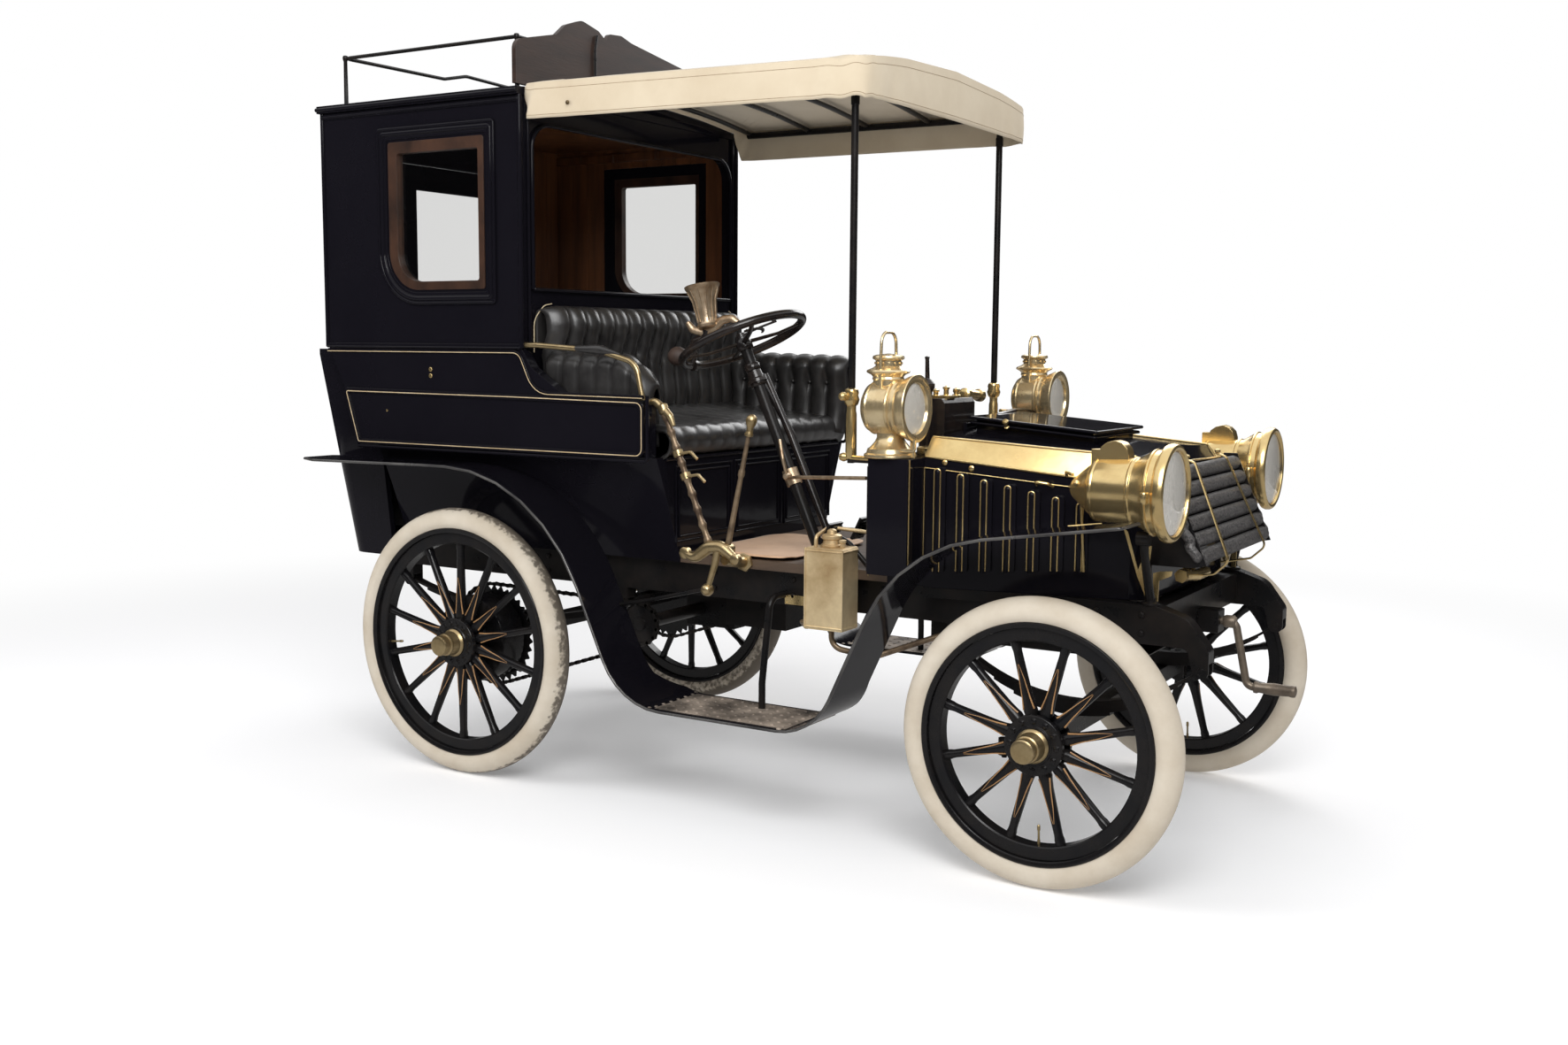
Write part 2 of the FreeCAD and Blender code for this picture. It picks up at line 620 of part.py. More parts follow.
hinges = [door_hinge(hinge_foot + hinge_way * d, hinge_way, hinge_out) for d in (120, 600)]
door_cut = block(-1000, v.cabin_rear_x + 0.01, -DOOR_HALF - 5, DOOR_HALF + 5, 690, 1500)
door_keep = block(-1000, v.cabin_rear_x - 5, -DOOR_HALF, DOOR_HALF, TONNEAU_BASE, 1500)
base = tonneau_solid(0).common(block(-900, -532, -600, 600, TONNEAU_BASE, TONNEAU_BASE + 20))
base = base.cut(block(-1000, -700, -DOOR_HALF - 5, DOOR_HALF + 5, 600, 800))
flange = block(-532, -520, -frame_inner, frame_inner, TONNEAU_BASE, frame_top - 10)
rear_panel = fused(tonneau.cut(door_cut), base, flange, *[h[0] for h in hinges])
formed("rear_panel", rear_panel.removeSplitter())
lower_door = tonneau.common(door_keep).cut(block(-701, 0, -700, 700, 0, TONNEAU_BASE + 25))
formed("rear_door_lower", fused(lower_door, *[h[1] for h in hinges]).removeSplitter())

# ------------------------------------------------------------------------- cabin
head = v.roof_height - 25
sill, window_top = v.belt_height + 202, v.roof_height - 150
cab_rear, cab_front = v.cabin_rear_x, v.cabin_front_x
window = ((86, sill, 0), (86, window_top, 0), (-343, window_top, 0), (-343, sill, 130))
wall = plate(((cab_rear, v.belt_height), (cab_front, v.belt_height), (cab_front, head), (cab_rear, head)),
             -v.body_half, v.wall)
wall = wall.cut(plate(window, -v.body_half, v.wall))


def grown(outline, out, sweep):
    """The window's outline moved outwards, its swept corner with a larger radius."""
    (right, low, _), (_, high, _), (left, _, _), _ = outline
    return ((right + out, low - out, 0), (right + out, high + out, 0), (left - out, high + out, 0),
            (left - out, low - out, sweep + out))


window_moulding = moulding(grown(window, 50, 130), grown(window, 30, 130), -v.body_half)
cornice = block(cab_rear, cab_front, -v.body_half - PROUD, -v.body_half, head - 22, head - 6)
belt = block(cab_rear + 4, cab_front, -v.body_half - PROUD, -v.body_half, v.belt_height, v.belt_height + 14)
both("cabin_side", fused(wall, window_moulding, cornice, belt).removeSplitter())
inner = v.body_half - v.wall
front_wall = block(cab_front - v.wall, cab_front, -inner, inner, v.belt_height, head)
arch = window_top + 45
front_wall = front_wall.cut(plate(((-inner + 26, sill, 0), (inner - 26, sill, 0), (inner - 26, arch, 90),
                                   (-inner + 26, arch, 90)), cab_front - v.wall, v.wall, X))
front_wall = fused(front_wall, section_plate(cab_front - v.wall, cab_front, v.belt_height)).removeSplitter()
formed("cabin_front", front_wall)
door_top = window_top - 10
rear_wall = block(cab_rear, cab_rear + v.wall, -inner, inner, v.belt_height, head)
rear_wall = rear_wall.cut(block(cab_rear - 1, cab_rear + v.wall + 1, -DOOR_HALF - 5, DOOR_HALF + 5,
                                v.belt_height - 1, door_top + 5))
upper_hinges = [door_hinge(Vector(cab_rear, DOOR_HALF + 2.5, z), Z, Vector(-1, 0, 0))
                for z in (sill - 65, door_top - 130)]
formed("cabin_rear", fused(rear_wall, *[h[0] for h in upper_hinges]).removeSplitter())
upper_door = block(cab_rear, cab_rear + v.wall, -DOOR_HALF, DOOR_HALF, v.belt_height + 5, door_top)
upper_door = upper_door.cut(block(cab_rear - 1, cab_rear + v.wall + 1, -DOOR_HALF + 80, DOOR_HALF - 80,
                                  sill, door_top - 90))
formed("rear_door_upper", fused(upper_door, *[h[1] for h in upper_hinges]).removeSplitter())
roof = block(cab_rear - 14, cab_front + 6, -v.body_half - 14, v.body_half + 14, head, v.roof_height)
CROWN = 35
eaves = [Vector(cab_rear, y, v.roof_height) for y in (-v.body_half, v.body_half)]
crown_wire = Part.Wire([Part.Arc(eaves[0], Vector(cab_rear, 0, v.roof_height + CROWN), eaves[1]).toShape(),
                        Part.LineSegment(eaves[1], eaves[0]).toShape()])
crown = Part.Face(crown_wire).extrude(X * (cab_front - cab_rear))
formed("roof", roof.fuse(crown).removeSplitter())
pane = plate(window, -v.body_half + 12, 5)
formed("window_glass", Part.makeCompound([pane, mirrored(pane)]))
BENCH_GAP, BENCH_INSIDE, BENCH_WIDTH, BENCH_HEIGHT = 60, 240, 200, 1180
boards_top = "(frame_base + frame_height + floor_thickness)"
benches = [box("bench", "cabin_rear_x + wall + %g" % BENCH_GAP, y, boards_top,
               "cabin_front_x - cabin_rear_x - 2 * (wall + %g)" % BENCH_GAP, BENCH_WIDTH,
               "%g - %s" % (BENCH_HEIGHT, boards_top)) for y in (-BENCH_INSIDE - BENCH_WIDTH, BENCH_INSIDE)]
whole("cabin_seats", benches)

# ------------------------------------------------------------------ driver's seat
heel = section_plate(v.seat_front_x - 20, v.seat_front_x, v.waist_height)
seat_half = side_inner - LINING - 14
seat_top = block(cab_front + FIT, v.seat_front_x, -seat_half, seat_half, v.waist_height - 20, v.waist_height)
formed("seat_box", heel.fuse(seat_top).removeSplitter())
seat_y = side_inner - LINING - FIT
BACK_DEPTH, OVERHANG, BACK_TOP, LEFT_ARM_TOP, RIGHT_ARM_TOP = 74, 25, 1588, 1445, 1500
half_seat = "(body_half - %g)" % (v.body_half - seat_y)
cushion_depth = "seat_front_x - cabin_front_x + %g" % (OVERHANG - BACK_DEPTH - 1)
whole("seat_cushion", [box("cushion", "cabin_front_x + %g" % (BACK_DEPTH + 1), "-" + half_seat,
                           "waist_height + %g" % FIT, cushion_depth, "2 * " + half_seat,
                           "cushion_height - %g" % FIT)])
face_x, back_x, back_low = cab_front + BACK_DEPTH, cab_front + 0.5, v.waist_height + FIT
back = plate(((back_x, back_low), (face_x, back_low), (face_x, 1400), (face_x + 26, 1500, 40),
              (face_x + 16, BACK_TOP, 45), (back_x, BACK_TOP, 40)), -seat_y, 2 * seat_y)
arm_low = v.waist_height + v.cushion_height + 2 * FIT
arm = plate(((face_x, arm_low), (v.seat_front_x + 30, arm_low), (v.seat_front_x + 30, LEFT_ARM_TOP, 60),
             (face_x, LEFT_ARM_TOP)), seat_y - 110, 110)
short = plate(((face_x, arm_low), (face_x + 106, arm_low), (face_x + 106, RIGHT_ARM_TOP, 50),
               (face_x, RIGHT_ARM_TOP)), -seat_y, 90)
formed("seat_back", fused(back, arm, short).removeSplitter())
rail_y = -v.body_half + 15
formed("arm_rail", bar([(Vector(cab_front, rail_y, 1474), 0), (Vector(300, rail_y, 1474), 80),
                        (Vector(560, rail_y, 1458), 60), (Vector(705, rail_y, 1420), 60),
                        (Vector(732, rail_y, 1303), 0)], 9))

# --------------------------------------------------------------------- dashboard
dash_front = v.dash_x + v.dash_depth
dash_base = floor_top + 12
dash = block(v.dash_x, dash_front, -v.dash_half, v.dash_half, dash_base, v.dash_height)
DASH_BOARD, DASH_CHEEK, DASH_TOP = 25, 22, 20
dash = dash.cut(block(v.dash_x, dash_front - DASH_BOARD, -v.dash_half + DASH_CHEEK, v.dash_half - DASH_CHEEK,
                      dash_base, v.dash_height - DASH_TOP))
coil = block(v.dash_x + 10, dash_front - 10, -190, 190, v.dash_height, v.dash_height + 90)
foot_half = SILL_HALF + 5
foot = block(v.dash_x, dash_front, -foot_half, foot_half, frame_top, dash_base)
formed("dashboard", fused(dash, coil, foot).removeSplitter())

# -------------------------------------------------------------------------- hood
HOOD_BASE = frame_top


def hood_section(x, half, side_top, chamfer_half, chamfer_top, crown, inset=0):
    h, c = half - inset, chamfer_half - inset * 0.6
    return Part.makePolygon([Vector(x, -h, HOOD_BASE), Vector(x, -h, side_top - inset * 0.5),
                             Vector(x, -c, chamfer_top - inset), Vector(x, 0, crown - inset),
                             Vector(x, c, chamfer_top - inset), Vector(x, h, side_top - inset * 0.5),
                             Vector(x, h, HOOD_BASE), Vector(x, -h, HOOD_BASE)])


def hood_solid(inset):
    ends = [hood_section(dash_front, 500, 1160, 450, 1212, 1236, inset),
            hood_section(v.hood_front_x, 380, 1098, 350, 1172, 1190, inset),
            hood_section(v.hood_front_x + 50, 350, 1050, 315, 1120, 1140, inset)]
    solid = Part.makeLoft(ends[:2], True, True).fuse(Part.makeLoft(ends[1:], True, True))
    return solid


hood = hood_solid(0)
inner_hood = hood_solid(6).common(block(dash_front - 1, v.hood_front_x + 44, -700, 700, HOOD_BASE - 1, 2000))
hood = hood.cut(inner_hood)
taper = math.degrees(math.atan2(120, v.hood_front_x - dash_front))
louvres = []
for sign in (-1, 1):
    for i in range(7):
        x = dash_front + 40 + 68 * i
        y = 500 - (x - dash_front) * 120 / (v.hood_front_x - dash_front)
        bottom, top = 820 + 4 * i, 1129 - 14 * i
        fin = plate(((0, bottom, 8), (26, bottom, 8), (26, top, 12.9), (0, top, 12.9)), -14, 16)
        fin.rotate(Vector(), Z, taper)
        fin.translate(Vector(x, -y, 0))
        louvres.append(fin if sign < 0 else mirrored(fin))
LID_HALF, LID_FRONT, LEAF_GAP = 200, 2072, 16
lid = []
for lift, edge in ((0, 0), (LEAF_GAP, 8)):
    half, rear_edge, front_edge = LID_HALF + edge, dash_front + 10, LID_FRONT + edge
    corners = [Vector(rear_edge, -half, 1243 + lift), Vector(front_edge, -half, 1210 + lift),
               Vector(front_edge, half, 1210 + lift), Vector(rear_edge, half, 1243 + lift)]
    lid.append(Part.Face(Part.makePolygon(corners + corners[:1])).extrude(Z * 9))
spacer = plate(((dash_front + 20, 1180), (2060, 1180), (2060, 1211 + LEAF_GAP),
                (dash_front + 20, 1242 + LEAF_GAP)), -180, 360)
hood = hood.fuse(louvres + lid + [spacer.cut(inner_hood)])
formed("hood", hood.removeSplitter())

# --------------------------------------------------------------------- undertray
TRAY_REAR, TRAY_FRONT, TRAY_DROP, TRAY_SHEET, LEDGE = 1640, 2290, 60, 4, 30
tray_low = v.frame_base - TRAY_DROP
tray = [block(TRAY_REAR, TRAY_FRONT, -frame_inner, frame_inner, tray_low, tray_low + TRAY_SHEET)]
tray += [block(TRAY_REAR, TRAY_FRONT, y, y + TRAY_SHEET, tray_low, v.frame_base + 8)
         for y in (-frame_inner, frame_inner - TRAY_SHEET)]
ledges = []
for sign in (-1, 1):
    ledge = plate(((dash_front, sign * 500), (1950, sign * 444), (1950, sign * v.frame_half),
                   (dash_front, sign * v.frame_half)), frame_top - LEDGE, LEDGE, Z)
    ledges.append(ledge)
formed("undertray", Part.makeCompound([fused(*tray)] + ledges))

# ---------------------------------------------------------------------- radiator
# Six rows of tube lean forward as they go down, held between cheeks and straps.
TUBES, TUBE_RADIUS, TUBE_REACH, TUBE_PITCH = 6, 21.5, 350, 44
TUBE_TOP, TUBE_TOP_X, TUBE_SLOPE = 1120, 2335, 113 / 249


def tube_x(z):
    """The radiator's plane at a height."""
    return TUBE_TOP_X + (TUBE_TOP - z) * TUBE_SLOPE


rows = []
for i in range(TUBES):
    z = TUBE_TOP - TUBE_PITCH * i
    rows.append(cylinder(TUBE_RADIUS, 2 * TUBE_REACH, tube_x(z), -TUBE_REACH, z, Y))
for y in (-TUBE_REACH - 8, TUBE_REACH, -150, 142):
    rows.append(plate(((2303, 1150, 6), (2348, 1150, 6), (2463, 880, 6), (2418, 880, 6)), y, 8))
for y in (-TUBE_REACH - 8, TUBE_REACH):
    rows.append(block(2304, 2340, y, y + 8, frame_top - 10, 900))
    rows.append(block(2304, 2430, y, y + 8, 872, 900))
for sign in (-1, 1):
    # offset ahead of the tubes' plane, height
    line = ((14, 1150), (26, 1120), (26, 890), (20, 890), (20, 1118), (8, 1144), (14, 1150))
    strap = Part.Face(Part.makePolygon([Vector(tube_x(z) + lift, 0, z) for lift, z in line])).extrude(Y * 16)
    strap.translate(Vector(0, sign * 185 - 8, 0))
    rows.append(strap)
formed("radiator", fused(*rows).removeSplitter())


# ------------------------------------------------------------------------- lamps
# profile rows: distance along the axis, radius there
HEADLAMP_SHELL = ((0, 0), (8, 18), (62, 70), (80, 87), (190, 91), (206, 96), (236, 116), (262, 118), (272, 131),
                  (297, 131), (300, 122), (286, 114), (262, 100), (236, 66), (214, 0))
LAMP_STAND = ((0, 0), (0, 76), (12, 74), (30, 58), (46, 44), (72, 40), (92, 58), (104, 60), (104, 0))
LAMP_DRUM = ((0, 0), (4, 40), (18, 70), (34, 78), (104, 79), (114, 84), (132, 86), (165, 96), (168, 92),
             (140, 70), (138, 0))
LAMP_CHIMNEY = ((0, 0), (0, 46), (60, 45), (72, 62), (78, 62), (90, 38), (108, 38), (112, 46), (122, 44),
                (126, 0))


def headlamp():
    """Right-hand headlamp: an open dish in a flared shell, its vent and its stay."""
    lamp_y, lamp_z, back = -524, 1093, 2123
    shell = turned(HEADLAMP_SHELL, Vector(back, lamp_y, lamp_z), X)
    vent = plate(((back + 85, 1150), (back + 85, 1205, 18), (back + 104, 1226, 16), (back + 152, 1222, 24),
                  (back + 170, 1190, 10), (back + 170, 1150)), lamp_y - 25, 50)
    stay = Part.makeCylinder(13, 330, Vector(2327, lamp_y, 1020), Vector(0, 115, -300))
    foot = block(2305, 2349, -440, -400, frame_top, frame_top + 14)
    return fused(shell, vent, stay.common(block(2000, 2600, -700, 0, frame_top, 1010)), foot)


both("headlamp", headlamp())


def side_lamp():
    """Right-hand oil lamp: stand, drum with an open dish, chimney and bail."""
    lamp_y, axis_z, back = -557, 1300, 1495
    stand = turned(LAMP_STAND, Vector(1577, lamp_y, v.dash_height), Z)
    drum = turned(LAMP_DRUM, Vector(back, lamp_y, axis_z), X)
    chimney = turned(LAMP_CHIMNEY, Vector(1567, lamp_y, 1330), Z)
    bail = [plate(((lamp_y - 44 - w, 1400), (lamp_y - 44 - w, 1515 + w, 34 + w),
                   (lamp_y + 44 + w, 1515 + w, 34 + w), (lamp_y + 44 + w, 1400)), 1563, 8, X)
            for w in (4, -4)]
    chimney_shoulder = block(1563, 1571, lamp_y - 48, lamp_y + 48, 1396, 1404)
    return fused(stand, drum, chimney, bail[0].cut(bail[1]), chimney_shoulder)


both("side_lamp", side_lamp())

# --------------------------------------------------------------- starting crank
SHAFT_HEIGHT, GRIP_HEIGHT, GRIP_LENGTH, CRANK_BAR = 670, 480, 125, 11
tip = v.wheelbase + v.front_reach
crank = bar([(Vector(RAIL_FRONT, 0, SHAFT_HEIGHT), 0), (Vector(2455, 0, SHAFT_HEIGHT), 16),
             (Vector(2495, 0, GRIP_HEIGHT), 16), (Vector(tip - GRIP_LENGTH + 15, 0, GRIP_HEIGHT), 0)], CRANK_BAR)
grip = turned(((0, 0), (0, 14), (12, 17), (60, 18), (108, 16), (GRIP_LENGTH, 17), (GRIP_LENGTH, 0)),
              Vector(tip - GRIP_LENGTH, 0, GRIP_HEIGHT), X)
bearing = block(RAIL_FRONT, RAIL_FRONT + 60, -30, 30, SHAFT_HEIGHT - 30, SHAFT_HEIGHT + 30)
formed("starting_crank", fused(crank, grip, bearing).removeSplitter())


# ----------------------------------------------------------------------- fenders
def fender_path():
    slope = 2.16
    top, step = 1066, v.step_height
    rear_foot = 731
    front_foot = 1440
    return [(-742, top - 8, 0), (-120, top, 900), (rear_foot - (top - step) / slope, top, 620),
            (rear_foot, step, 240), (front_foot, step, 200), (front_foot + (923 - step) / slope, 923, 470),
            (2352, 1017, 0)]


def fender():
    corners = [(Vector(x, -v.fender_outer, z), r) for x, z, r in fender_path()]
    upper = rounded(corners)
    sheet_face = upper.extrude(Y * (v.fender_outer - 488))
    band = sheet_face.makeOffsetShape(-v.fender_thickness, 0.01, fill=True)
    plan = plate(((-742, -708), (-640, -v.fender_outer), (2352, -v.fender_outer), (2352, -620), (1900, -522),
                  (1500, -522), (1440, -488), (800, -488), (720, -560), (-700, -560), (-800, -600)), 0, 2000, Z)
    return band.common(plan).cut(lower_wall(BODY_REAR, v.seat_front_x))


wing = fender()
both("fender", wing)
stay = bar([(Vector(1150, -v.frame_half, 695), 0), (Vector(1150, -530, 695), 40),
            (Vector(1140, -560, 430), 60),
            (Vector(1140, -560, v.step_height + v.fender_thickness + 0.5), 0)], 11)
formed("step_brackets", Part.makeCompound([stay, mirrored(stay)]))

# ------------------------------------------------------------------------ canopy
roof_edge = v.canopy_height
CANOPY_TAPER = 46
canopy_half = v.body_half - CANOPY_TAPER
canopy_rear = cab_front + 8


def canopy_solid(inset, bottom, behind=0):
    rings = []
    for x, z, half in ((canopy_rear - behind, roof_edge + 15, v.body_half),
                       (v.canopy_front_x - inset, roof_edge, canopy_half)):
        half, z = half - inset, z - inset
        rings.append(Part.Wire([
            Part.Arc(Vector(x, -half, z), Vector(x, 0, z + 45), Vector(x, half, z)).toShape(),
            Part.LineSegment(Vector(x, half, z), Vector(x, half, bottom)).toShape(),
            Part.LineSegment(Vector(x, half, bottom), Vector(x, -half, bottom)).toShape(),
            Part.LineSegment(Vector(x, -half, bottom), Vector(x, -half, z)).toShape()]))
    return Part.makeLoft(rings, True, True)


hem = roof_edge - v.valance
formed("canopy", canopy_solid(0, hem).cut(canopy_solid(6, hem - 1, 10)))
canopy_inner = canopy_half - 6.3
BOW_WIDTH, BOW_DEPTH, POST_RADIUS, POST_FOOT = 30, 22, 11, 1130
bow_z = "canopy_height - valance + 20"
bow_half = "(body_half - %g)" % (v.body_half - canopy_inner)
bow_length = "post_x + %g - cabin_front_x" % (BOW_WIDTH / 2)
frame_bits = [box("side_bow", "cabin_front_x", y, bow_z, bow_length, BOW_WIDTH, BOW_DEPTH)
              for y in ("-" + bow_half, bow_half + " - %g" % BOW_WIDTH)]
for x in ("420", "700", "980", "1260", "post_x"):
    narrowing = "%g * (%s + 17 - cabin_front_x) / (canopy_front_x - 4 - cabin_front_x)" % (CANOPY_TAPER, x)
    half = "(body_half - 6.3 - %s)" % narrowing
    frame_bits.append(box("cross_bow", "%s - %g" % (x, BOW_WIDTH / 2), "-" + half, bow_z, BOW_WIDTH,
                          "2 * " + half, BOW_DEPTH))
for y in ("-post_half", "post_half"):
    frame_bits.append(rod("post", "post_x", y, POST_FOOT, POST_RADIUS, "%s - %g" % (bow_z, POST_FOOT)))
    frame_bits.append(rod("post_arm", "post_x", y, POST_FOOT + 10, 9, "dash_x - post_x", X))
    frame_bits.append(rod("post_collar", "post_x", y, POST_FOOT + 175, 18, 30))
whole("canopy_frame", frame_bits)

# ------------------------------------------------------------------ luggage rail
# Four posts carry a rail whose rear run rises in the middle; a shaped board
# closes the front.
RAIL_TOP, RAIL_HALF, RAIL_BACK, RAIL_FRONT_POST, RAIL_BAR = 2489, 560, -640, 165, 7
roof_block = roof.fuse(crown)
rail_bits = [cylinder(RAIL_BAR, RAIL_TOP - v.roof_height, x, side * RAIL_HALF, v.roof_height, Z)
             for side in (-1, 1) for x in (RAIL_BACK, RAIL_FRONT_POST)]
# forward, left, above the rail's height, bend
top_line = ((RAIL_FRONT_POST, -RAIL_HALF, 0, 0), (RAIL_BACK, -RAIL_HALF, 0, 24), (RAIL_BACK, -60, 0, 90),
            (RAIL_BACK, 60, 28, 90), (RAIL_BACK, 330, 24, 90), (RAIL_BACK, RAIL_HALF, 0, 24),
            (RAIL_FRONT_POST, RAIL_HALF, 0, 0))
rail_bits.append(bar([(Vector(x, y, RAIL_TOP + lift), bend) for x, y, lift, bend in top_line], RAIL_BAR))
formed("luggage_rail", fused(*rail_bits).cut(roof_block))
board = plate(((-608, v.roof_height + 20), (-608, 2470, 40), (-400, 2520), (-350, 2560, 40), (-263, 2590, 60),
               (-170, 2570, 40), (-130, 2545), (-110, 2570, 20), (-40, 2576, 40), (20, 2560), (330, 2520),
               (608, 2470, 40), (608, v.roof_height + 20)), 185, 16, X)
formed("rack_board", board.cut(crown))

# --------------------------------------------------------------- driver's controls
rake = math.radians(v.wheel_rake)
lean = Vector(-math.sin(rake), 0, math.cos(rake))
ahead = Vector(math.cos(rake), 0, math.sin(rake))
wheel_centre = Vector(925, -v.driver_y, 1495)
foot_point = wheel_centre - lean * ((wheel_centre.z - floor_top) / lean.z)
BOSS_RADIUS, BOSS_DEPTH, COLUMN_RADIUS = 26, 34, 19
column_length = (wheel_centre - foot_point).Length - BOSS_DEPTH - FIT
column = Part.makeCylinder(COLUMN_RADIUS, column_length, foot_point, lean)
below_floor = block(0, 3000, -v.body_half, v.body_half, 0, floor_top)
beside = Vector(34, 38, 0)
control_tube = bar([(foot_point + beside - lean * 20, 0), (wheel_centre + beside - lean * 330, 60),
                    (wheel_centre + Vector(12, 12, 0) - lean * 120, 0)], 11)
foot_plate = cylinder(46, 14, foot_point.x, foot_point.y, floor_top, Z)
formed("steering_column", fused(column, control_tube).cut(below_floor).fuse(foot_plate).removeSplitter())

RIM_BAR = 14
rim_middle = v.steering_radius - RIM_BAR
eighths = [math.pi * (i + 0.5) / 4 for i in range(8)]
rim = turned([(RIM_BAR * math.sin(a), rim_middle + RIM_BAR * math.cos(a)) for a in eighths], Vector(), Z)
rim.rotate(Vector(), Y, -v.wheel_rake)
rim.translate(wheel_centre)
boss = Part.makeCylinder(BOSS_RADIUS, BOSS_DEPTH, wheel_centre - lean * BOSS_DEPTH, lean)
arms = []
for i in range(4):
    ends = [Part.makePolygon([Vector(x, a * w, b * t) for a, b in ((-1, -1), (1, -1), (1, 1), (-1, 1), (-1, -1))])
            for x, w, t in ((0, 13, 6), (rim_middle, 8, 4))]
    spoke = Part.makeLoft(ends, True, True)
    spoke.rotate(Vector(), Z, 45 + 90 * i)
    spoke.rotate(Vector(), Y, -v.wheel_rake)
    spoke.translate(wheel_centre - lean * 8)
    arms.append(spoke)
formed("steering_wheel", fused(rim, boss, *arms))

# profile rows: distance along the axis, radius there
HORN_BELL = ((-70, 0), (-70, 14), (-62, 20), (-54, 16), (-10, 27), (14, 46), (27, 53), (27, 48), (-4, 26),
             (-30, 0))
HORN_BULB = ((-34, 0), (-34, 12), (-24, 26), (-6, 33), (12, 29), (26, 18), (32, 12), (32, 0))
rear_rim = wheel_centre - ahead * rim_middle
horn = bar([(rear_rim + Vector(-20, -20, 30), 0), (rear_rim + Vector(24, -20, 42), 22),
            (rear_rim + Vector(64, -20, 150), 0)], 12)
bell = turned(HORN_BELL, rear_rim + Vector(62, -20, 196), Z)
bulb = turned(HORN_BULB, rear_rim + Vector(-42, -20, 30), X)
clip = bar([(rear_rim + Vector(6, -20, 50), 0), (rear_rim + Vector(6, -20, 0), 0)], 8)
formed("horn", fused(horn, bell, bulb, clip).cut(rim))

# A brake lever and a gear lever stand in one cast bracket with a drop arm.
LEVER_Y, CASTING = -600, 28
casting = plate(((872, 838, 12), (872, 812, 12), (930, 808, 20), (958, 826, 20), (1004, 826, 20), (1010, 775),
                 (1036, 775), (1046, 824, 20), (1084, 806, 14), (1092, 834, 14), (1040, 872, 40), (960, 872, 40),
                 (925, 836, 30)), LEVER_Y - CASTING / 2, CASTING)
levers = [casting]
for foot_x, top_x, top_z, radius in ((971, 790, 1276, 11), (1034, 1123, 1266, 9)):
    levers.append(bar([(Vector(foot_x, LEVER_Y, 840), 0), (Vector(top_x, LEVER_Y, top_z), 0)], radius))
    levers.append(cylinder(20, CASTING + 14, foot_x, LEVER_Y - CASTING / 2 - 7, 846, Y))
knob_way = Vector(1123 - 1034, 0, 1266 - 840).normalize()
levers.append(turned(((-34, 0), (-34, 12), (-26, 14), (-6, 10), (16, 18), (28, 15), (35, 0)),
                     Vector(1123, LEVER_Y, 1266) - knob_way * 30, knob_way))
levers.append(bar([(Vector(1006, LEVER_Y, 840), 0), (Vector(976, LEVER_Y, 724), 0)], 11))
levers.append(cylinder(20, CASTING, 974, LEVER_Y - CASTING / 2, 716, Y))
levers.append(block(1008, 1038, LEVER_Y, -SILL_HALF, 775, 815))
formed("hand_levers", fused(*levers).removeSplitter())

TANK_REAR, TANK_LENGTH, TANK_DEPTH, TANK_LOW, TANK_HEIGHT = 1300, 130, 100, 620, 250
tank_side = "-(frame_half + %g)" % (SILL_HALF + TANK_DEPTH - v.frame_half)
tank = [box("tank", TANK_REAR, tank_side, TANK_LOW, TANK_LENGTH, TANK_DEPTH, TANK_HEIGHT)]
tank_middle = "-(frame_half + %g)" % (SILL_HALF + TANK_DEPTH / 2 - v.frame_half)
for lift, radius, height in ((TANK_HEIGHT, 33, 8), (TANK_HEIGHT + 8, 26, 16), (TANK_HEIGHT + 24, 30, 10)):
    tank.append(rod("filler", TANK_REAR + TANK_LENGTH / 2, tank_middle, TANK_LOW + lift, radius, height))
whole("side_tank", tank)

# --------------------------------------------------------------------- brass trim
TRIM = 3


def chamfer_strip():
    """Polished strip that covers the right-hand chamfer of the hood."""
    ends = []
    for x, low_y, low_z, high_y, high_z in ((dash_front, 500, 1160, 450, 1212),
                                            (v.hood_front_x, 380, 1098, 350, 1172)):
        along = Vector(0, low_y - high_y, high_z - low_z).normalize()
        out = Vector(0, -along.z, along.y) * TRIM
        a, b = Vector(x, -low_y, low_z), Vector(x, -high_y, high_z)
        ends.append(Part.makePolygon([a, b, b + out, a + out, a]))
    return Part.makeLoft(ends, True, True)


strip = chamfer_strip()
formed("brass_trim", Part.makeCompound([strip, mirrored(strip)]))

doc.recompute()
for item in doc.Objects:
    if "Invalid" in item.State or "Error" in item.State:
        raise RuntimeError("%s failed: %s" % (item.Label, item.State))
os.makedirs("parts", exist_ok=True)
for part in PARTS:
    shape = part.Shape
    if shape.isNull() or not shape.isValid():
        raise RuntimeError("%s has no valid shape" % part.Label)
    shape.exportStep("parts/%s.step" % part.Label)
    print("%-20s solids %d volume %.1f l" % (part.Label, len(shape.Solids), shape.Volume / 1e6))
print(len(PARTS), "parts")
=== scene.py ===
import math
import bmesh
import bpy
from mathutils import Matrix, Vector


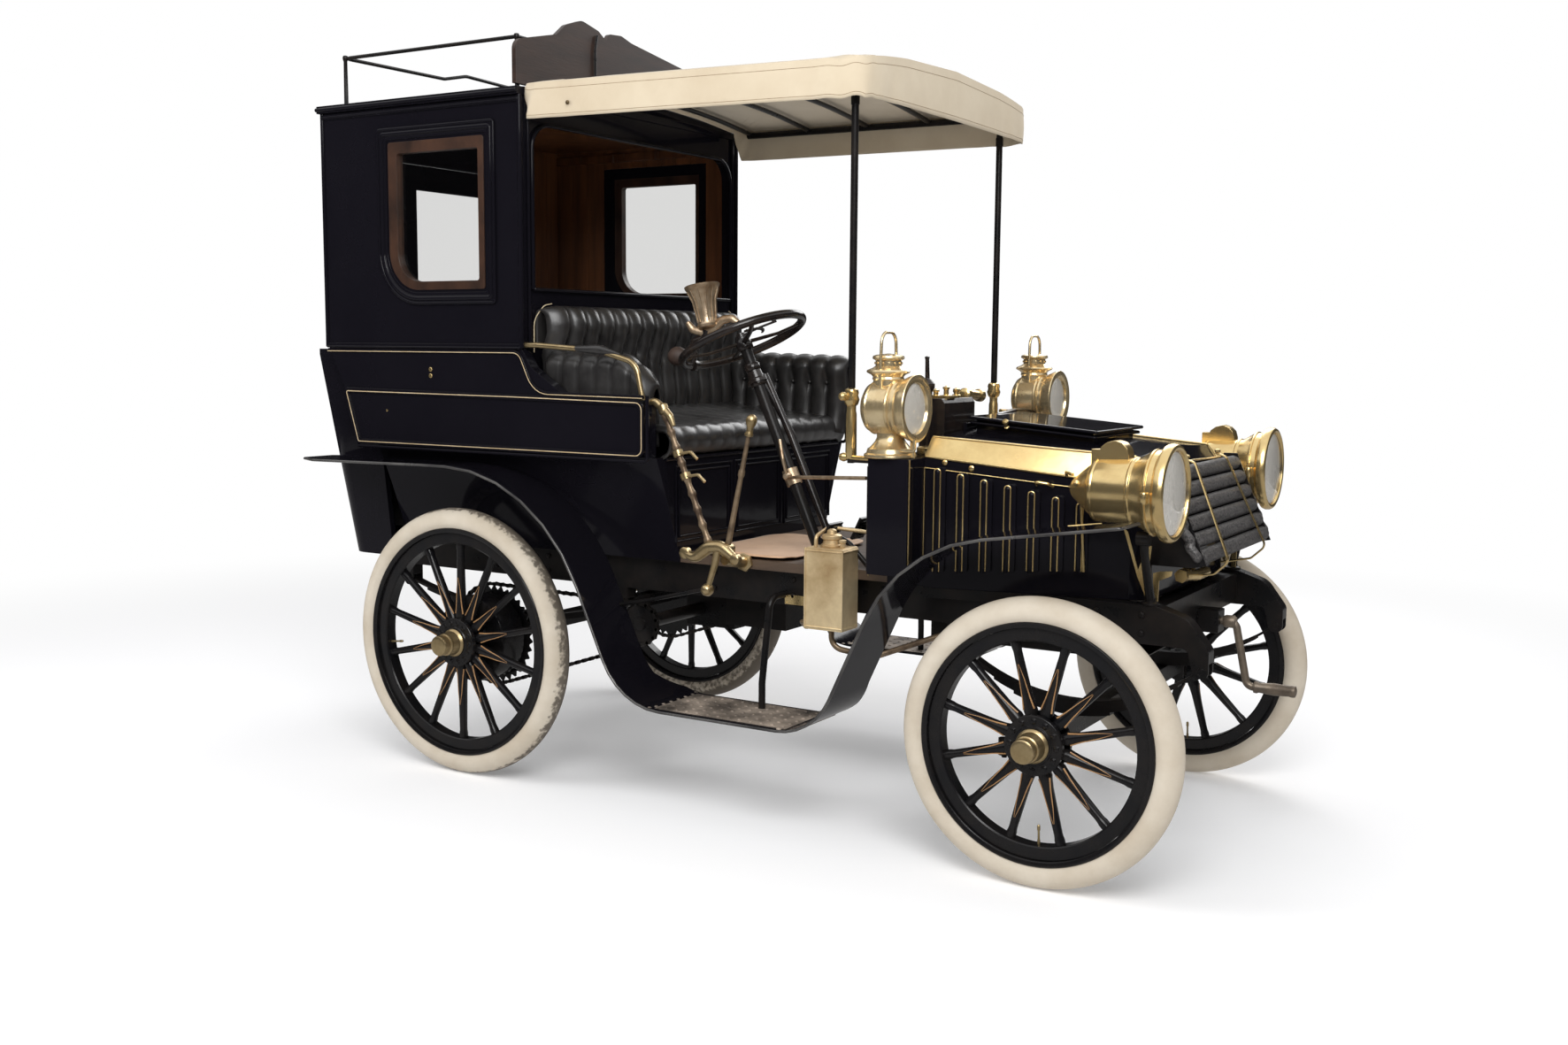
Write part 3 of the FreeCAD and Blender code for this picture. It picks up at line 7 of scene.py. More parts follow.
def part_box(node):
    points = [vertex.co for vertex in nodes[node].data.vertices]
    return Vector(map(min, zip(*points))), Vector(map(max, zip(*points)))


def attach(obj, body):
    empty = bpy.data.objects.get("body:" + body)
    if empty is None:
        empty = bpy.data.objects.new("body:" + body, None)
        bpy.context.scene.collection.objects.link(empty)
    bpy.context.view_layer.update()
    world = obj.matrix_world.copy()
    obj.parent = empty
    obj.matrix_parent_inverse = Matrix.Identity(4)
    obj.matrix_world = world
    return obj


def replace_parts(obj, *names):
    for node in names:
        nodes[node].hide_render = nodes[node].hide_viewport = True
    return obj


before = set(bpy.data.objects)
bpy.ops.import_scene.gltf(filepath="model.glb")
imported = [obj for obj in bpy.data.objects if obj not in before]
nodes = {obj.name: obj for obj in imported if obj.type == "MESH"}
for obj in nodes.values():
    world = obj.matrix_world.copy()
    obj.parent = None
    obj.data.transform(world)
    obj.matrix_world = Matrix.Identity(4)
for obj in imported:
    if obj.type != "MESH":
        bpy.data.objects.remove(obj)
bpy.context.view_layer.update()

# ------------------------------------------------------------ camera and studio
# A car of about 1900 stands on a pale studio floor.  The camera is off its right
# front corner at a standing person's chest, and a lit ceiling fills the room.
axle_low, axle_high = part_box("rear_axle")
REAR_AXLE = (axle_low.x + axle_high.x) / 2


def at(x, y, z):
    """A point in millimetres forward, left and up from the ground under the rear axle."""
    return Vector((REAR_AXLE + x / 1000, y / 1000, z / 1000))


camera = bpy.data.objects.new("camera", bpy.data.cameras.new("camera"))
bpy.context.collection.objects.link(camera)
camera.data.lens, camera.data.sensor_width = 34.92, 36
swing, tilt, roll = math.radians(31.37), math.radians(6.59), math.radians(0.44)
camera.matrix_world = (Matrix.Translation(at(3630.5, -4520.2, 1474.9)) @ Matrix.Rotation(swing, 4, "Z")
                       @ Matrix.Rotation(math.pi / 2 - tilt, 4, "X") @ Matrix.Rotation(roll, 4, "Z"))
bpy.context.scene.camera = camera
bpy.context.scene.view_settings.view_transform = "Standard"


def node_adder(tree):
    """The function that adds a shader node to a tree, fed by other nodes in order or by a socket's name."""

    def add(kind, *feeds, **settings):
        node = tree.nodes.new("ShaderNode" + kind)
        for key, value in [*enumerate(feeds), *settings.items()]:
            socket = key.replace("_", " ") if isinstance(key, str) else key
            if isinstance(key, str) and socket not in node.inputs:
                setattr(node, key, value)
            elif isinstance(value, bpy.types.Node):
                tree.links.new(value.outputs[0], node.inputs[socket])
            elif isinstance(value, bpy.types.NodeSocket):
                tree.links.new(value, node.inputs[socket])
            else:
                node.inputs[socket].default_value = value
        return node

    return add


def new_material(name):
    """An empty material and the function that adds its nodes."""
    material = bpy.data.materials.new(name)
    material.use_nodes = True
    material.node_tree.nodes.clear()
    return material, node_adder(material.node_tree)


def mesh_piece(name, points, faces):
    """A smooth-shaded object made from corner points and faces."""
    mesh = bpy.data.meshes.new(name)
    mesh.from_pydata([tuple(p) for p in points], [], faces)
    mesh.update()
    mesh.shade_smooth()
    piece = bpy.data.objects.new(name, mesh)
    bpy.context.collection.objects.link(piece)
    return piece


ROUND = 96


def disc_points(radius, height):
    """The corners of a round floor piece, in metres."""
    turns = [2 * math.pi * i / ROUND for i in range(ROUND)]
    return [Vector((radius * math.cos(turn), radius * math.sin(turn), height)) for turn in turns]


FLOOR_RADIUS, FADE_FROM, FADE_TO = 14, 3.0, 6.5
floor = mesh_piece("floor", disc_points(FLOOR_RADIUS, 0), [list(range(ROUND))])
material, add = new_material("studio_floor")
reach = add("VectorMath", add("TexCoord").outputs["Object"], operation="LENGTH")
fade = add("MapRange", reach.outputs["Value"], interpolation_type="SMOOTHSTEP",
           From_Min=FADE_FROM, From_Max=FADE_TO)
shaded = add("AddShader", add("BsdfDiffuse", Color=(0.86, 0.86, 0.87, 1)),
             add("Emission", Color=(1, 1, 1, 1), Strength=0.16))
bright = add("Emission", Color=(1, 1, 1, 1), Strength=1.0)
add("OutputMaterial", add("MixShader", fade, shaded, bright))
floor.data.materials.append(material)

# Dark cloths stand round the car, out of the picture, and a grey one lies under it,
# so that the paint and brass have something dark to mirror below the lit ceiling.
CLOTH_RADIUS, CLOTH_TOP = 8.0, 5.0
ring = disc_points(CLOTH_RADIUS, 0.02) + disc_points(CLOTH_RADIUS, CLOTH_TOP)
cloths = mesh_piece("dark_cloths", ring, [(i, (i + 1) % ROUND, ROUND + (i + 1) % ROUND, ROUND + i)
                                          for i in range(ROUND)])
material, add = new_material("dark_cloth")
add("OutputMaterial", add("BsdfDiffuse", Color=(0.02, 0.02, 0.022, 1)))
cloths.data.materials.append(material)
under_cloth = mesh_piece("grey_under_cloth", disc_points(CLOTH_RADIUS, -0.01), [list(range(ROUND))])
material, add = new_material("grey_cloth")
add("OutputMaterial", add("Emission", Color=(0.36, 0.355, 0.35, 1), Strength=1.0))
under_cloth.data.materials.append(material)
floor.visible_glossy = False
for cloth in (cloths, under_cloth):
    cloth.visible_camera = cloth.visible_diffuse = cloth.visible_shadow = cloth.visible_transmission = False

AMBIENT = 0.55
world = bpy.data.worlds.new("room")
bpy.context.scene.world = world
world.use_nodes = True
world.node_tree.nodes.clear()
add = node_adder(world.node_tree)
rays = add("LightPath")
seen = add("Math", rays.outputs["Is Camera Ray"], rays.outputs["Is Glossy Ray"], operation="MAXIMUM")
clear = add("Math", seen, rays.outputs["Is Transmission Ray"], operation="MAXIMUM")
strength = add("MapRange", clear, To_Min=AMBIENT, To_Max=1.0)
add("OutputWorld", add("Background", Color=(1, 1, 1, 1), Strength=strength))


def hang_lamp(name, spot, size, watts):
    """A square lamp of a size in metres, turned to the middle of the car."""
    lamp = bpy.data.objects.new(name + "_light", bpy.data.lights.new(name, "AREA"))
    bpy.context.collection.objects.link(lamp)
    lamp.data.energy, lamp.data.size = watts, size
    lamp.location = spot
    lamp.rotation_euler = (at(1000, 0, 900) - spot).to_track_quat("-Z", "Y").to_euler()
    return lamp


hang_lamp("key", at(3600, -4200, 4200), 3.0, 210)
hang_lamp("side", at(-2600, -3600, 3600), 2.6, 90).visible_glossy = False
hang_lamp("back", at(900, 4200, 4000), 3.0, 110)

# ---------------------------------------------------------------------- chassis
# Flitched rails with cross members, dumb irons and leaf springs, all brushed with
# black chassis enamel that has dulled in dusty patches.


def surface(name, colour, rough, worn=None, patches=4.0, share=0.5, uneven=0.05, metal=0.0, grain=60.0,
            relief=0.0, level=0.5, coat=0.0, sheen=0.0, soften=0.0, stretch=(1, 1, 1), detail=4.0, ior=1.5):
    """A finish whose colour drifts in patches towards a worn one, by up to a share, with uneven gloss.

    relief is the depth and grain the fineness of its surface; relief and soften, the
    rounding of its edges, are in millimetres.
    """
    material, add = new_material(name)
    place = add("Mapping", add("TexCoord").outputs["Object"], Scale=stretch)
    drift = add("TexNoise", place, Scale=patches, Detail=detail, Roughness=0.62)
    wear = add("MapRange", drift, From_Min=0.35, From_Max=0.68, To_Max=share)
    mix = add("MixRGB", wear, (*colour, 1), (*(worn or [c * 0.7 for c in colour]), 1))
    gloss = add("MapRange", drift, To_Min=rough - uneven, To_Max=rough + uneven)
    shader = add("BsdfPrincipled", Base_Color=mix, Roughness=gloss, Metallic=metal, IOR=ior,
                 Specular_IOR_Level=level, Coat_Weight=coat, Coat_Roughness=0.06, Sheen_Weight=sheen)
    join = material.node_tree.links.new
    normal = shader.inputs["Normal"]
    if relief:
        height = add("TexNoise", place, Scale=grain, Detail=3.0)
        press = add("Bump", Strength=0.6, Distance=relief / 1000, Height=height)
        join(press.outputs[0], normal)
        normal = press.inputs["Normal"]
    if soften:
        join(add("Bevel", samples=4, Radius=soften / 1000).outputs[0], normal)
    add("OutputMaterial", shader)
    return material


def dress(material, *names):
    """Give CAD nodes a finish."""
    for name in names:
        slots = nodes[name].data.materials
        slots.clear()
        slots.append(material)


def rounded(corners, closed=False, step=10):
    """A line through corners; one given as (point, radius) is turned with an arc, so many degrees a step."""
    corners = [c if len(c) == 2 else (c, 0) for c in corners]
    line = []
    for i, (corner, radius) in enumerate(corners):
        corner = Vector(corner)
        if radius and (closed or 0 < i < len(corners) - 1):
            back = (Vector(corners[i - 1][0]) - corner).normalized()
            ahead = (Vector(corners[(i + 1) % len(corners)][0]) - corner).normalized()
            half = back.angle(ahead) / 2
            reach = radius / math.tan(half)
            centre = corner + (back + ahead).normalized() * (radius / math.sin(half))
            first, last = corner + back * reach - centre, corner + ahead * reach - centre
            turn = first.angle(last)
            count = max(2, int(math.degrees(turn) / step))
            for share in [k / count for k in range(count + 1)]:
                blend = first * math.sin((1 - share) * turn) + last * math.sin(share * turn)
                line.append(centre + blend / math.sin(turn))
        else:
            line.append(corner)
    return line


def face_outwards(piece, weld=0):
    """Turn every face outwards, with points closer than weld metres joined."""
    skin = bmesh.new()
    skin.from_mesh(piece.data)
    if weld:
        bmesh.ops.remove_doubles(skin, verts=skin.verts, dist=weld)
    bmesh.ops.recalc_face_normals(skin, faces=skin.faces)
    skin.to_mesh(piece.data)
    skin.free()
    piece.data.shade_smooth()


class Workpiece:
    """One object put together from bent, turned and flat parts, in the car's own millimetres."""

    def __init__(self):
        """An empty bench: the parts are added one by one."""
        self.points, self.faces = [], []

    def add(self, points, faces):
        """More points, and the faces between them."""
        start = len(self.points)
        self.points += [Vector(p) for p in points]
        self.faces += [tuple(start + i for i in face) for face in faces]
        return self

    def rings(self, rings, closed=False, capped=True):
        """A skin over a row of rings with the same count of points."""
        count = len(rings[0])
        rows = len(rings) if closed else len(rings) - 1
        faces = []
        for r in range(rows):
            here, there = r * count, (r + 1) % len(rings) * count
            faces += [(here + i, here + (i + 1) % count, there + (i + 1) % count, there + i)
                      for i in range(count)]
        if capped and not closed:
            faces.append(tuple(reversed(range(count))))
            faces.append(tuple((len(rings) - 1) * count + i for i in range(count)))
        return self.add([p for ring in rings for p in ring], faces)

    def tube(self, corners, radius, sides=12, closed=False, flat=1.0, lie=None):
        """A bar along a line; radius may be a function of the share of its length, flat squeezes it."""
        line = rounded(corners, closed)
        count = len(line)
        lengths = [0.0]
        for a, b in zip(line, line[1:]):
            lengths.append(lengths[-1] + (b - a).length)
        side, rings = None, []
        for i, p in enumerate(line):
            before = line[i - 1] if i or closed else line[0]
            after = line[(i + 1) % count] if i < count - 1 or closed else line[-1]
            way = (after - before).normalized()
            if side is None:
                side = Vector(lie) if lie else way.orthogonal()
            side = (side - way * side.dot(way)).normalized()
            up = way.cross(side)
            r = radius(lengths[i] / lengths[-1]) if callable(radius) else radius
            rings.append([p + side * (r * math.cos(2 * math.pi * k / sides))
                          + up * (r * flat * math.sin(2 * math.pi * k / sides)) for k in range(sides)])
        return self.rings(rings, closed)

    def turn(self, profile, centre, axis, count=64, closed=False):
        """A lathe-turned part: the profile gives the distance along the axis and the radius."""
        axis = Vector(axis).normalized()
        side = axis.orthogonal().normalized()
        other = axis.cross(side)
        turns = [2 * math.pi * k / count for k in range(count)]
        rays = [side * math.cos(turn) + other * math.sin(turn) for turn in turns]
        rings = [[Vector(centre) + axis * along + ray * radius for ray in rays] for along, radius in profile]
        return self.rings(rings, closed, capped=not closed)

    def slab(self, outline, push):
        """A flat outline given a thickness."""
        return self.rings([outline, [Vector(p) + Vector(push) for p in outline]])

    def frame(self, outer, inner, push):
        """A flat ring between two outlines with the same count of points, given a thickness."""
        push = Vector(push)
        return self.rings([outer, inner, [p + push for p in inner], [p + push for p in outer]], closed=True)

    def block(self, low, high):
        """A board or block between two opposite corners."""
        (x0, y0, z0), (x1, y1, z1) = low, high
        return self.slab([(x0, y0, z0), (x1, y0, z0), (x1, y1, z0), (x0, y1, z0)], (0, 0, z1 - z0))

    def mirrored(self):
        """The same part on the car's other side as well."""
        flipped = [Vector((p.x, -p.y, p.z)) for p in self.points]
        return self.add(flipped, [tuple(reversed(face)) for face in self.faces])

    def made(self, name, material, slot, body="car", replaces=(), sharp=38, bevel=0.0):
        """The finished object, riding on a body of the car."""
        piece = mesh_piece(name, [at(*p) for p in self.points], self.faces)
        face_outwards(piece)
        piece.data.set_sharp_from_angle(angle=math.radians(sharp))
        piece.data.materials.append(material)
        if bevel:
            edge = piece.modifiers.new("eased_edges", "BEVEL")
            edge.width, edge.segments, edge.limit_method = bevel / 1000, 2, "ANGLE"
            edge.angle_limit, edge.harden_normals = math.radians(35), True
        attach(piece, body)
        if replaces:
            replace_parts(piece, *replaces)
        return piece


iron = surface("chassis_enamel", (0.006, 0.006, 0.0065), 0.3, worn=(0.017, 0.013, 0.011), patches=9,
               share=0.7, uneven=0.12, grain=90, relief=0.5, soften=2.0, ior=1.3)
dress(iron, "chassis_frame", "front_axle", "rear_axle", "knuckle_left", "knuckle_right", "track_rod",
      "leaf_springs", "engine_and_gears", "undertray", "step_brackets", "steering_column")
FRAME_HALF = 440
frame_bolts = Workpiece()
for x in (-470, -60, 180, 420, 880, 1180, 1500, 1880, 2180, 2310):
    for z in (690, 742):
        for out in (-1, 1):
            frame_bolts.turn([(0, 9), (5, 9), (7, 6), (7, 0.5)], (x, out * FRAME_HALF, z), (0, out, 0), 6)
frame_bolts.made("frame_bolts", iron, "black_iron", bevel=0.6)

# ----------------------------------------------------------------------- wheels
# Artillery wheels: ash spokes wedged between two bolted flanges, a bent felloe, a
# steel clincher rim, and black enamel lined in ochre.  Each turns on a brass-capped hub.
wheel_enamel = surface("wheel_enamel", (0.006, 0.006, 0.007), 0.2, worn=(0.016, 0.013, 0.011), patches=11,
                       share=0.5, uneven=0.08, grain=70, relief=0.3, ior=1.36)
lining = surface("ochre_lining", (0.40, 0.22, 0.09), 0.4, worn=(0.24, 0.12, 0.05), patches=30, share=0.8)
brass = surface("polished_brass", (0.84, 0.64, 0.31), 0.24, worn=(0.60, 0.41, 0.17), patches=13, share=0.5,
                uneven=0.07, metal=0.92, grain=45, relief=0.25)
dull_brass = surface("dull_brass", (0.58, 0.45, 0.25), 0.32, worn=(0.38, 0.27, 0.13), patches=22, share=0.7,
                     uneven=0.09, metal=0.92, grain=90, relief=0.35)
rubber = surface("cream_rubber", (0.57, 0.51, 0.42), 0.62, worn=(0.44, 0.37, 0.28), patches=6, share=0.75,
                 uneven=0.1, grain=160, relief=0.4, level=0.3, detail=8)


def add_tread_dirt_and_inner_shade(material):
    """Road dirt ground into the rubber towards the tread, and painted shade on the rear tyres' inner sides,
    both read from the tread attribute.
    """
    tree = material.node_tree
    add = node_adder(tree)
    shader = next(n for n in tree.nodes if n.type == "BSDF_PRINCIPLED")
    clean = shader.inputs["Base Color"].links[0].from_socket
    near = add("Attribute", attribute_name="tread").outputs["Fac"]
    spots = add("TexNoise", add("TexCoord").outputs["Object"], Scale=60, Detail=8)
    edge = add("MapRange", add("Math", near, spots, operation="ADD"), interpolation_type="SMOOTHSTEP",
               From_Min=1.12, From_Max=1.42, To_Max=0.86)
    darkened = add("MixRGB", edge, clean, (0.07, 0.055, 0.042, 1))
    tree.links.new(darkened.outputs[0], shader.inputs["Base Color"])


add_tread_dirt_and_inner_shade(rubber)
FRONT_AXLE, HALF_TRACK, RIM_DEPTH, FLANGE_RADIUS, CHAIN_LINE = 2114, 690, 75, 84, 522


def of_wheel(corner, what):
    """The name of a corner's wheel or tyre: front_wheel_right for front_right."""
    return ("_" + what + "_").join(corner.split("_"))


def ray(turn):
    """A unit step in a wheel's plane, turn from straight ahead."""
    return Vector((math.cos(turn), 0, math.sin(turn)))


def tyre(corner, hub, radius, side, darkened, oily):
    """A smooth pneumatic tyre with its beads tucked into the clincher rim."""
    half = [(-33, -67), (-38, -61), (-43, -53), (-45, -44), (-44.2, -34), (-41, -24.5), (-35.5, -16),
            (-28, -9), (-19, -4), (-9.5, -1)]
    section = half + [(0, 0)] + [(-a, r) for a, r in reversed(half)] + [(30, -73), (-30, -73)]
    around = 144
    ring = Workpiece().turn([(a, radius + r) for a, r in section], hub, (0, -side, 0), around, closed=True)
    piece = ring.made("tyre_" + corner, rubber, "tyre_rubber", of_wheel(corner, "wheel"),
                      [of_wheel(corner, "tyre")], 60)
    layer = piece.data.attributes.new("tread", "FLOAT", "POINT")
    tread_dirt_and_inner_shade = []
    for a, r in section:
        # On the rear tyres the inner side is darkened as painted shade, standing in for the shade under the
        # car.
        inner_shade = 0.75 * max(0.0, min(1.0, (a - 8) / 20)) if oily else 0
        tread_dirt_and_inner_shade += [darkened * max(0.0, min(1.0, 1 + r / 30)) + inner_shade] * around
    layer.data.foreach_set("value", tread_dirt_and_inner_shade)


def spoke(work, stripes, hub, angle, end, out):
    """A tapering oval spoke with two ochre lines down its outer face."""
    way = ray(angle)
    across, axial = Vector((-way.z, 0, way.x)), Vector((0, out, 0))
    shape = ((58, 13, 21), (92, 19.5, 21), (104, 17, 20), (128, 14.5, 18.5), (180, 13.2, 17),
             (end - 30, 11.8, 14), (end - 22, 12.4, 14.6), (end - 14, 14, 16), (end + 3, 14, 16))
    turns = [2 * math.pi * k / 14 for k in range(14)]
    work.rings([[hub + way * reach + across * (wide * math.cos(turn)) + axial * (deep * math.sin(turn))
                 for turn in turns] for reach, wide, deep in shape])
    for lean in (-1, 1):
        line = []
        for reach, wide, deep, spread in ((96, 18.5, 20.6, 58), (128, 14.5, 18.5, 50), (180, 13.2, 17, 34),
                                          (222, 12.9, 16.2, 6)):
            turn = math.radians(90 - lean * spread)
            line.append(hub + way * reach + across * ((wide + 0.3) * math.cos(turn))
                        + axial * ((deep + 0.3) * math.sin(turn)))
        stripes.tube(line, lambda share: 2.6 - 2.0 * share, 6)


def sprocket(work, hub, side):
    """The brake drum behind a rear wheel, with the chain's toothed ring on it."""
    teeth, inboard = 34, CHAIN_LINE - HALF_TRACK
    work.turn([(-40, 60), (-44, 146), (-50, 150), (inboard + 20, 150), (inboard + 16, 146),
               (inboard + 16, 40), (-74, 40)], hub, (0, side, 0), 96, closed=True)
    reaches = (158, 158, 164, 171, 171, 164)
    face = hub + Vector((0, side * (inboard - 2.5), 0))
    work.slab([face + ray(2 * math.pi * i / (teeth * 6)) * reaches[i % 6] for i in range(teeth * 6)],
              (0, side * 5, 0))


def wheel(corner, x, radius, spokes, driven):
    """A whole wheel: felloe and rim, spokes, flanges and bolts, brass hub cap and valve, and its tyre."""
    side = -1 if "right" in corner else 1
    hub, rim, out = Vector((x, side * HALF_TRACK, radius)), radius - RIM_DEPTH, (0, side, 0)
    work, stripes, metal = Workpiece(), Workpiece(), Workpiece()
    work.turn([(-34, rim + 9), (-38, rim + 6), (-38, rim), (-33, rim - 8), (33, rim - 8), (38, rim),
               (38, rim + 6), (34, rim + 9), (31, rim + 3), (-31, rim + 3)], hub, out, 128, closed=True)
    work.turn([(-24, rim - 9), (-24, rim - 42), (-20, rim - 46), (20, rim - 46), (24, rim - 42),
               (24, rim - 9)], hub, out, 128, closed=True)
    for i in range(spokes):
        spoke(work, stripes, hub, 2 * math.pi * (i + 0.5) / spokes, rim - 46, side)
        for face in (-1, 1):
            spot = hub + ray(2 * math.pi * i / spokes) * 68 + Vector((0, side * face * 25, 0))
            work.turn([(0, 10), (14, 10), (15, 8), (17, 7.5), (18.5, 5), (18.5, 0.5)], spot,
                      (0, side * face, 0), 8)
    work.turn([(23, FLANGE_RADIUS), (37, FLANGE_RADIUS), (39, 82), (39, 56), (43, 53), (43, 30), (23, 30)],
              hub, out, 64, closed=True)
    work.turn([(-23, FLANGE_RADIUS), (-37, FLANGE_RADIUS), (-39, 82), (-39, 47), (-74, 43), (-74, 22),
               (-23, 22)], hub, out, 64, closed=True)
    metal.turn([(40, 40), (43, 47), (46, 48), (49, 46), (53, 41), (78, 36.5), (80, 38), (84, 38.5), (88, 37),
                (90, 33.5), (104, 33), (106, 34.5), (112, 34.5), (116, 33), (118.5, 29), (119.3, 24),
                (119.3, 0.5)], hub, out, 64)
    valve = 2 * math.pi * (0.25 if driven else 0.0) / spokes + math.radians(180 if driven else 272)
    metal.turn([(0, 4.2), (14, 4.2), (16, 3.2), (40, 3.2), (42, 4.5), (54, 4.5), (57, 2.5)],
               hub + ray(valve) * (rim - 44), -ray(valve), 12)
    if driven:
        sprocket(work, hub, side)
    body = of_wheel(corner, "wheel")
    work.made("wheel_" + corner, wheel_enamel, "wheel_black", body, [body], bevel=0.7)
    stripes.made("spoke_lines_" + corner, lining, "wheel_black", body)
    metal.made("hub_cap_" + corner, dull_brass, "brass", body, sharp=30)
    # The rear tyres get more road dirt towards the tread, and painted shade on their inner sides.
    tyre(corner, hub, radius, side, 0.92 if driven else 0.3, oily=driven)


for hand in ("right", "left"):
    wheel("front_" + hand, FRONT_AXLE, 405, 12, driven=False)
for hand in ("right", "left"):
    wheel("rear_" + hand, 0, 460, 14, driven=True)

# -------------------------------------------------------------------- coachwork
# Ash-framed panels and sheet-iron mudguards, filled, rubbed down and varnished to a
# deep blue-black.  The mudguards' edges are rolled over a wire.
paint = surface("coach_black", (0.0056, 0.0051, 0.0075), 0.085, worn=(0.0078, 0.0071, 0.0098), patches=3,
                share=0.5, uneven=0.03, grain=7, relief=0.7, soften=3.0, ior=1.25)
dress(paint, "body_side_left", "body_side_right", "cabin_front", "cabin_rear", "cabin_side_left",
      "cabin_side_right", "dashboard", "fender_left", "fender_right", "hood", "rear_door_lower",
      "rear_door_upper", "rear_panel", "roof", "seat_box")
GUARD_OUT, GUARD_IN, STEP_TOP = 760, 708, 340
guard_edge = ((-742, GUARD_IN, 1058), ((-640, GUARD_OUT, 1059), 20), ((-120, GUARD_OUT, 1066), 900),
              ((395, GUARD_OUT, 1066), 620), ((731, GUARD_OUT, STEP_TOP), 240),
              ((1440, GUARD_OUT, STEP_TOP), 200), ((1710, GUARD_OUT, 923), 470),
              ((2352, GUARD_OUT, 1017), 12), (2352, 620, 1017))
# The beads on the rolled edges are painted light grey, broken by black patches, as a painted highlight along
# the mudguards' edges.
edge_highlight_paint = surface("painted_highlight_edge", (0.14, 0.135, 0.13), 0.28, worn=(0.012, 0.011, 0.014), patches=5, share=0.8,
                 uneven=0.08, metal=0.5, grain=60, relief=0.3)
rolled = Workpiece().tube(guard_edge, 4.5, 10)
rolled.mirrored().made("mudguard_beads", edge_highlight_paint, "black_coachwork")

# The steps on the mudguards carry worn iron treads with raised studs, bolted down at
# their corners.
tread_iron = surface("worn_tread", (0.05, 0.042, 0.036), 0.5, worn=(0.46, 0.38, 0.31), patches=9, share=1.0,
                     uneven=0.12, metal=0.2, grain=200, relief=0.5, detail=10)
treads = Workpiece().block((790, 505, STEP_TOP + 5.2), (1375, 742, STEP_TOP + 7))
for i in range(15):
    for k in range(6):
        treads.turn([(0, 7), (2, 6.5), (3.4, 4), (3.8, 0.5)], (812 + 39 * i, 525 + 40 * k, STEP_TOP + 6.5),
                    (0, 0, 1), 10)
for x in (842, 1320):
    for y in (495, 750):
        treads.turn([(0, 9), (3, 8), (5, 4), (5.4, 0.5)], (x, y, STEP_TOP + 5), (0, 0, 1), 12)
treads.mirrored().made("step_treads", tread_iron, "black_iron", bevel=0.5)

# ---------------------------------------------------- mouldings and striping
# Half-round ash mouldings cover the panel joints and are painted in with the body;
# a fine line of old gold is drawn beside them with a sword liner.
gold = surface("old_gold_line", (0.58, 0.46, 0.29), 0.3, worn=(0.40, 0.28, 0.14), patches=20, share=0.7,
               uneven=0.08)
SIDE, PROUD = 646, 652
CABIN_REAR, CABIN_FRONT, BELT_TOP, CORNICE = -671, 245, 1463, 2285
SILL, LINE_OUT = 1110, 6.5
panel = (((-578, PROUD, 1306), 6), (206, PROUD, 1302), ((741, PROUD, 1295), 24), ((741, PROUD, 1127), 24),
         (203, PROUD, 1127), ((-522, PROUD, 1127), 6))
belt = (((-668, SIDE, 1452), 0), ((236, SIDE, 1452), 40), ((300, SIDE, 1318), 95), ((745, SIDE, 1314), 0))
beads = Workpiece()
beads.tube(belt, 7, 10, flat=0.75)
beads.tube([(-582, SIDE, 1290), (-526, SIDE, SILL), ((760, SIDE, SILL), 14), (760, SIDE, 1318)], 6, 10)
beads.tube([(CABIN_REAR, SIDE, BELT_TOP), (CABIN_REAR, SIDE, CORNICE)], 8, 10)
beads.tube([(CABIN_REAR + 4, PROUD, BELT_TOP + 1), (CABIN_FRONT, PROUD, BELT_TOP + 1)], 4, 10)
beads.tube([(CABIN_FRONT, SIDE - 2, BELT_TOP), (CABIN_FRONT, SIDE - 2, CORNICE)], 9, 12)
beads.tube([(CABIN_FRONT + 6, SIDE - 36, BELT_TOP), (CABIN_FRONT + 6, SIDE - 36, CORNICE)], 6, 10)
beads.tube([(CABIN_REAR - 14, 662, CORNICE + 12), (CABIN_FRONT + 5, 662, CORNICE + 12)], 7, 10)
beads.tube([(CABIN_REAR, PROUD, CORNICE - 14), (CABIN_FRONT, PROUD, CORNICE - 14)], 5, 10)
beads.mirrored()
OPENING_HALF, OPENING_LOW, OPENING_TOP = 592, 1658, 2200
front_face = CABIN_FRONT + 7
beads.tube([(front_face, 2 - OPENING_HALF, OPENING_LOW), (front_face, OPENING_HALF - 2, OPENING_LOW)], 7, 10)
beads.tube([(front_face, -OPENING_HALF, OPENING_LOW), ((front_face, -OPENING_HALF, OPENING_TOP), 86),
            ((front_face, OPENING_HALF, OPENING_TOP), 86), (front_face, OPENING_HALF, OPENING_LOW)], 7, 10)
beads.made("panel_beads", paint, "black_coachwork")
lines = Workpiece()
lines.tube(panel, 1.7, 8, closed=True)
lines.tube([((x, y + LINE_OUT, z - 4), turn) for (x, y, z), turn in belt], 1.4, 8)
lines.tube([(560, 560, 1100), (500, 545, 1020), (470, 525, 930)], 1.4, 8)
lines.mirrored().made("coach_lines", gold, "black_coachwork")

# A brass key plate of two discs stands under the belt, and a small stud below it.
key_plates = Workpiece()
for z in (1388, 1366):
    key_plates.turn([(0, 8), (2, 8), (3.5, 6), (3.5, 0.5)], (-167, -SIDE, z), (0, -1, 0), 20)
key_plates.turn([(0, 4), (3, 4), (4, 0.5)], (-380, -SIDE, 1240), (0, -1, 0), 12)
key_plates.made("lock_plates", brass, "brass", bevel=0.4)

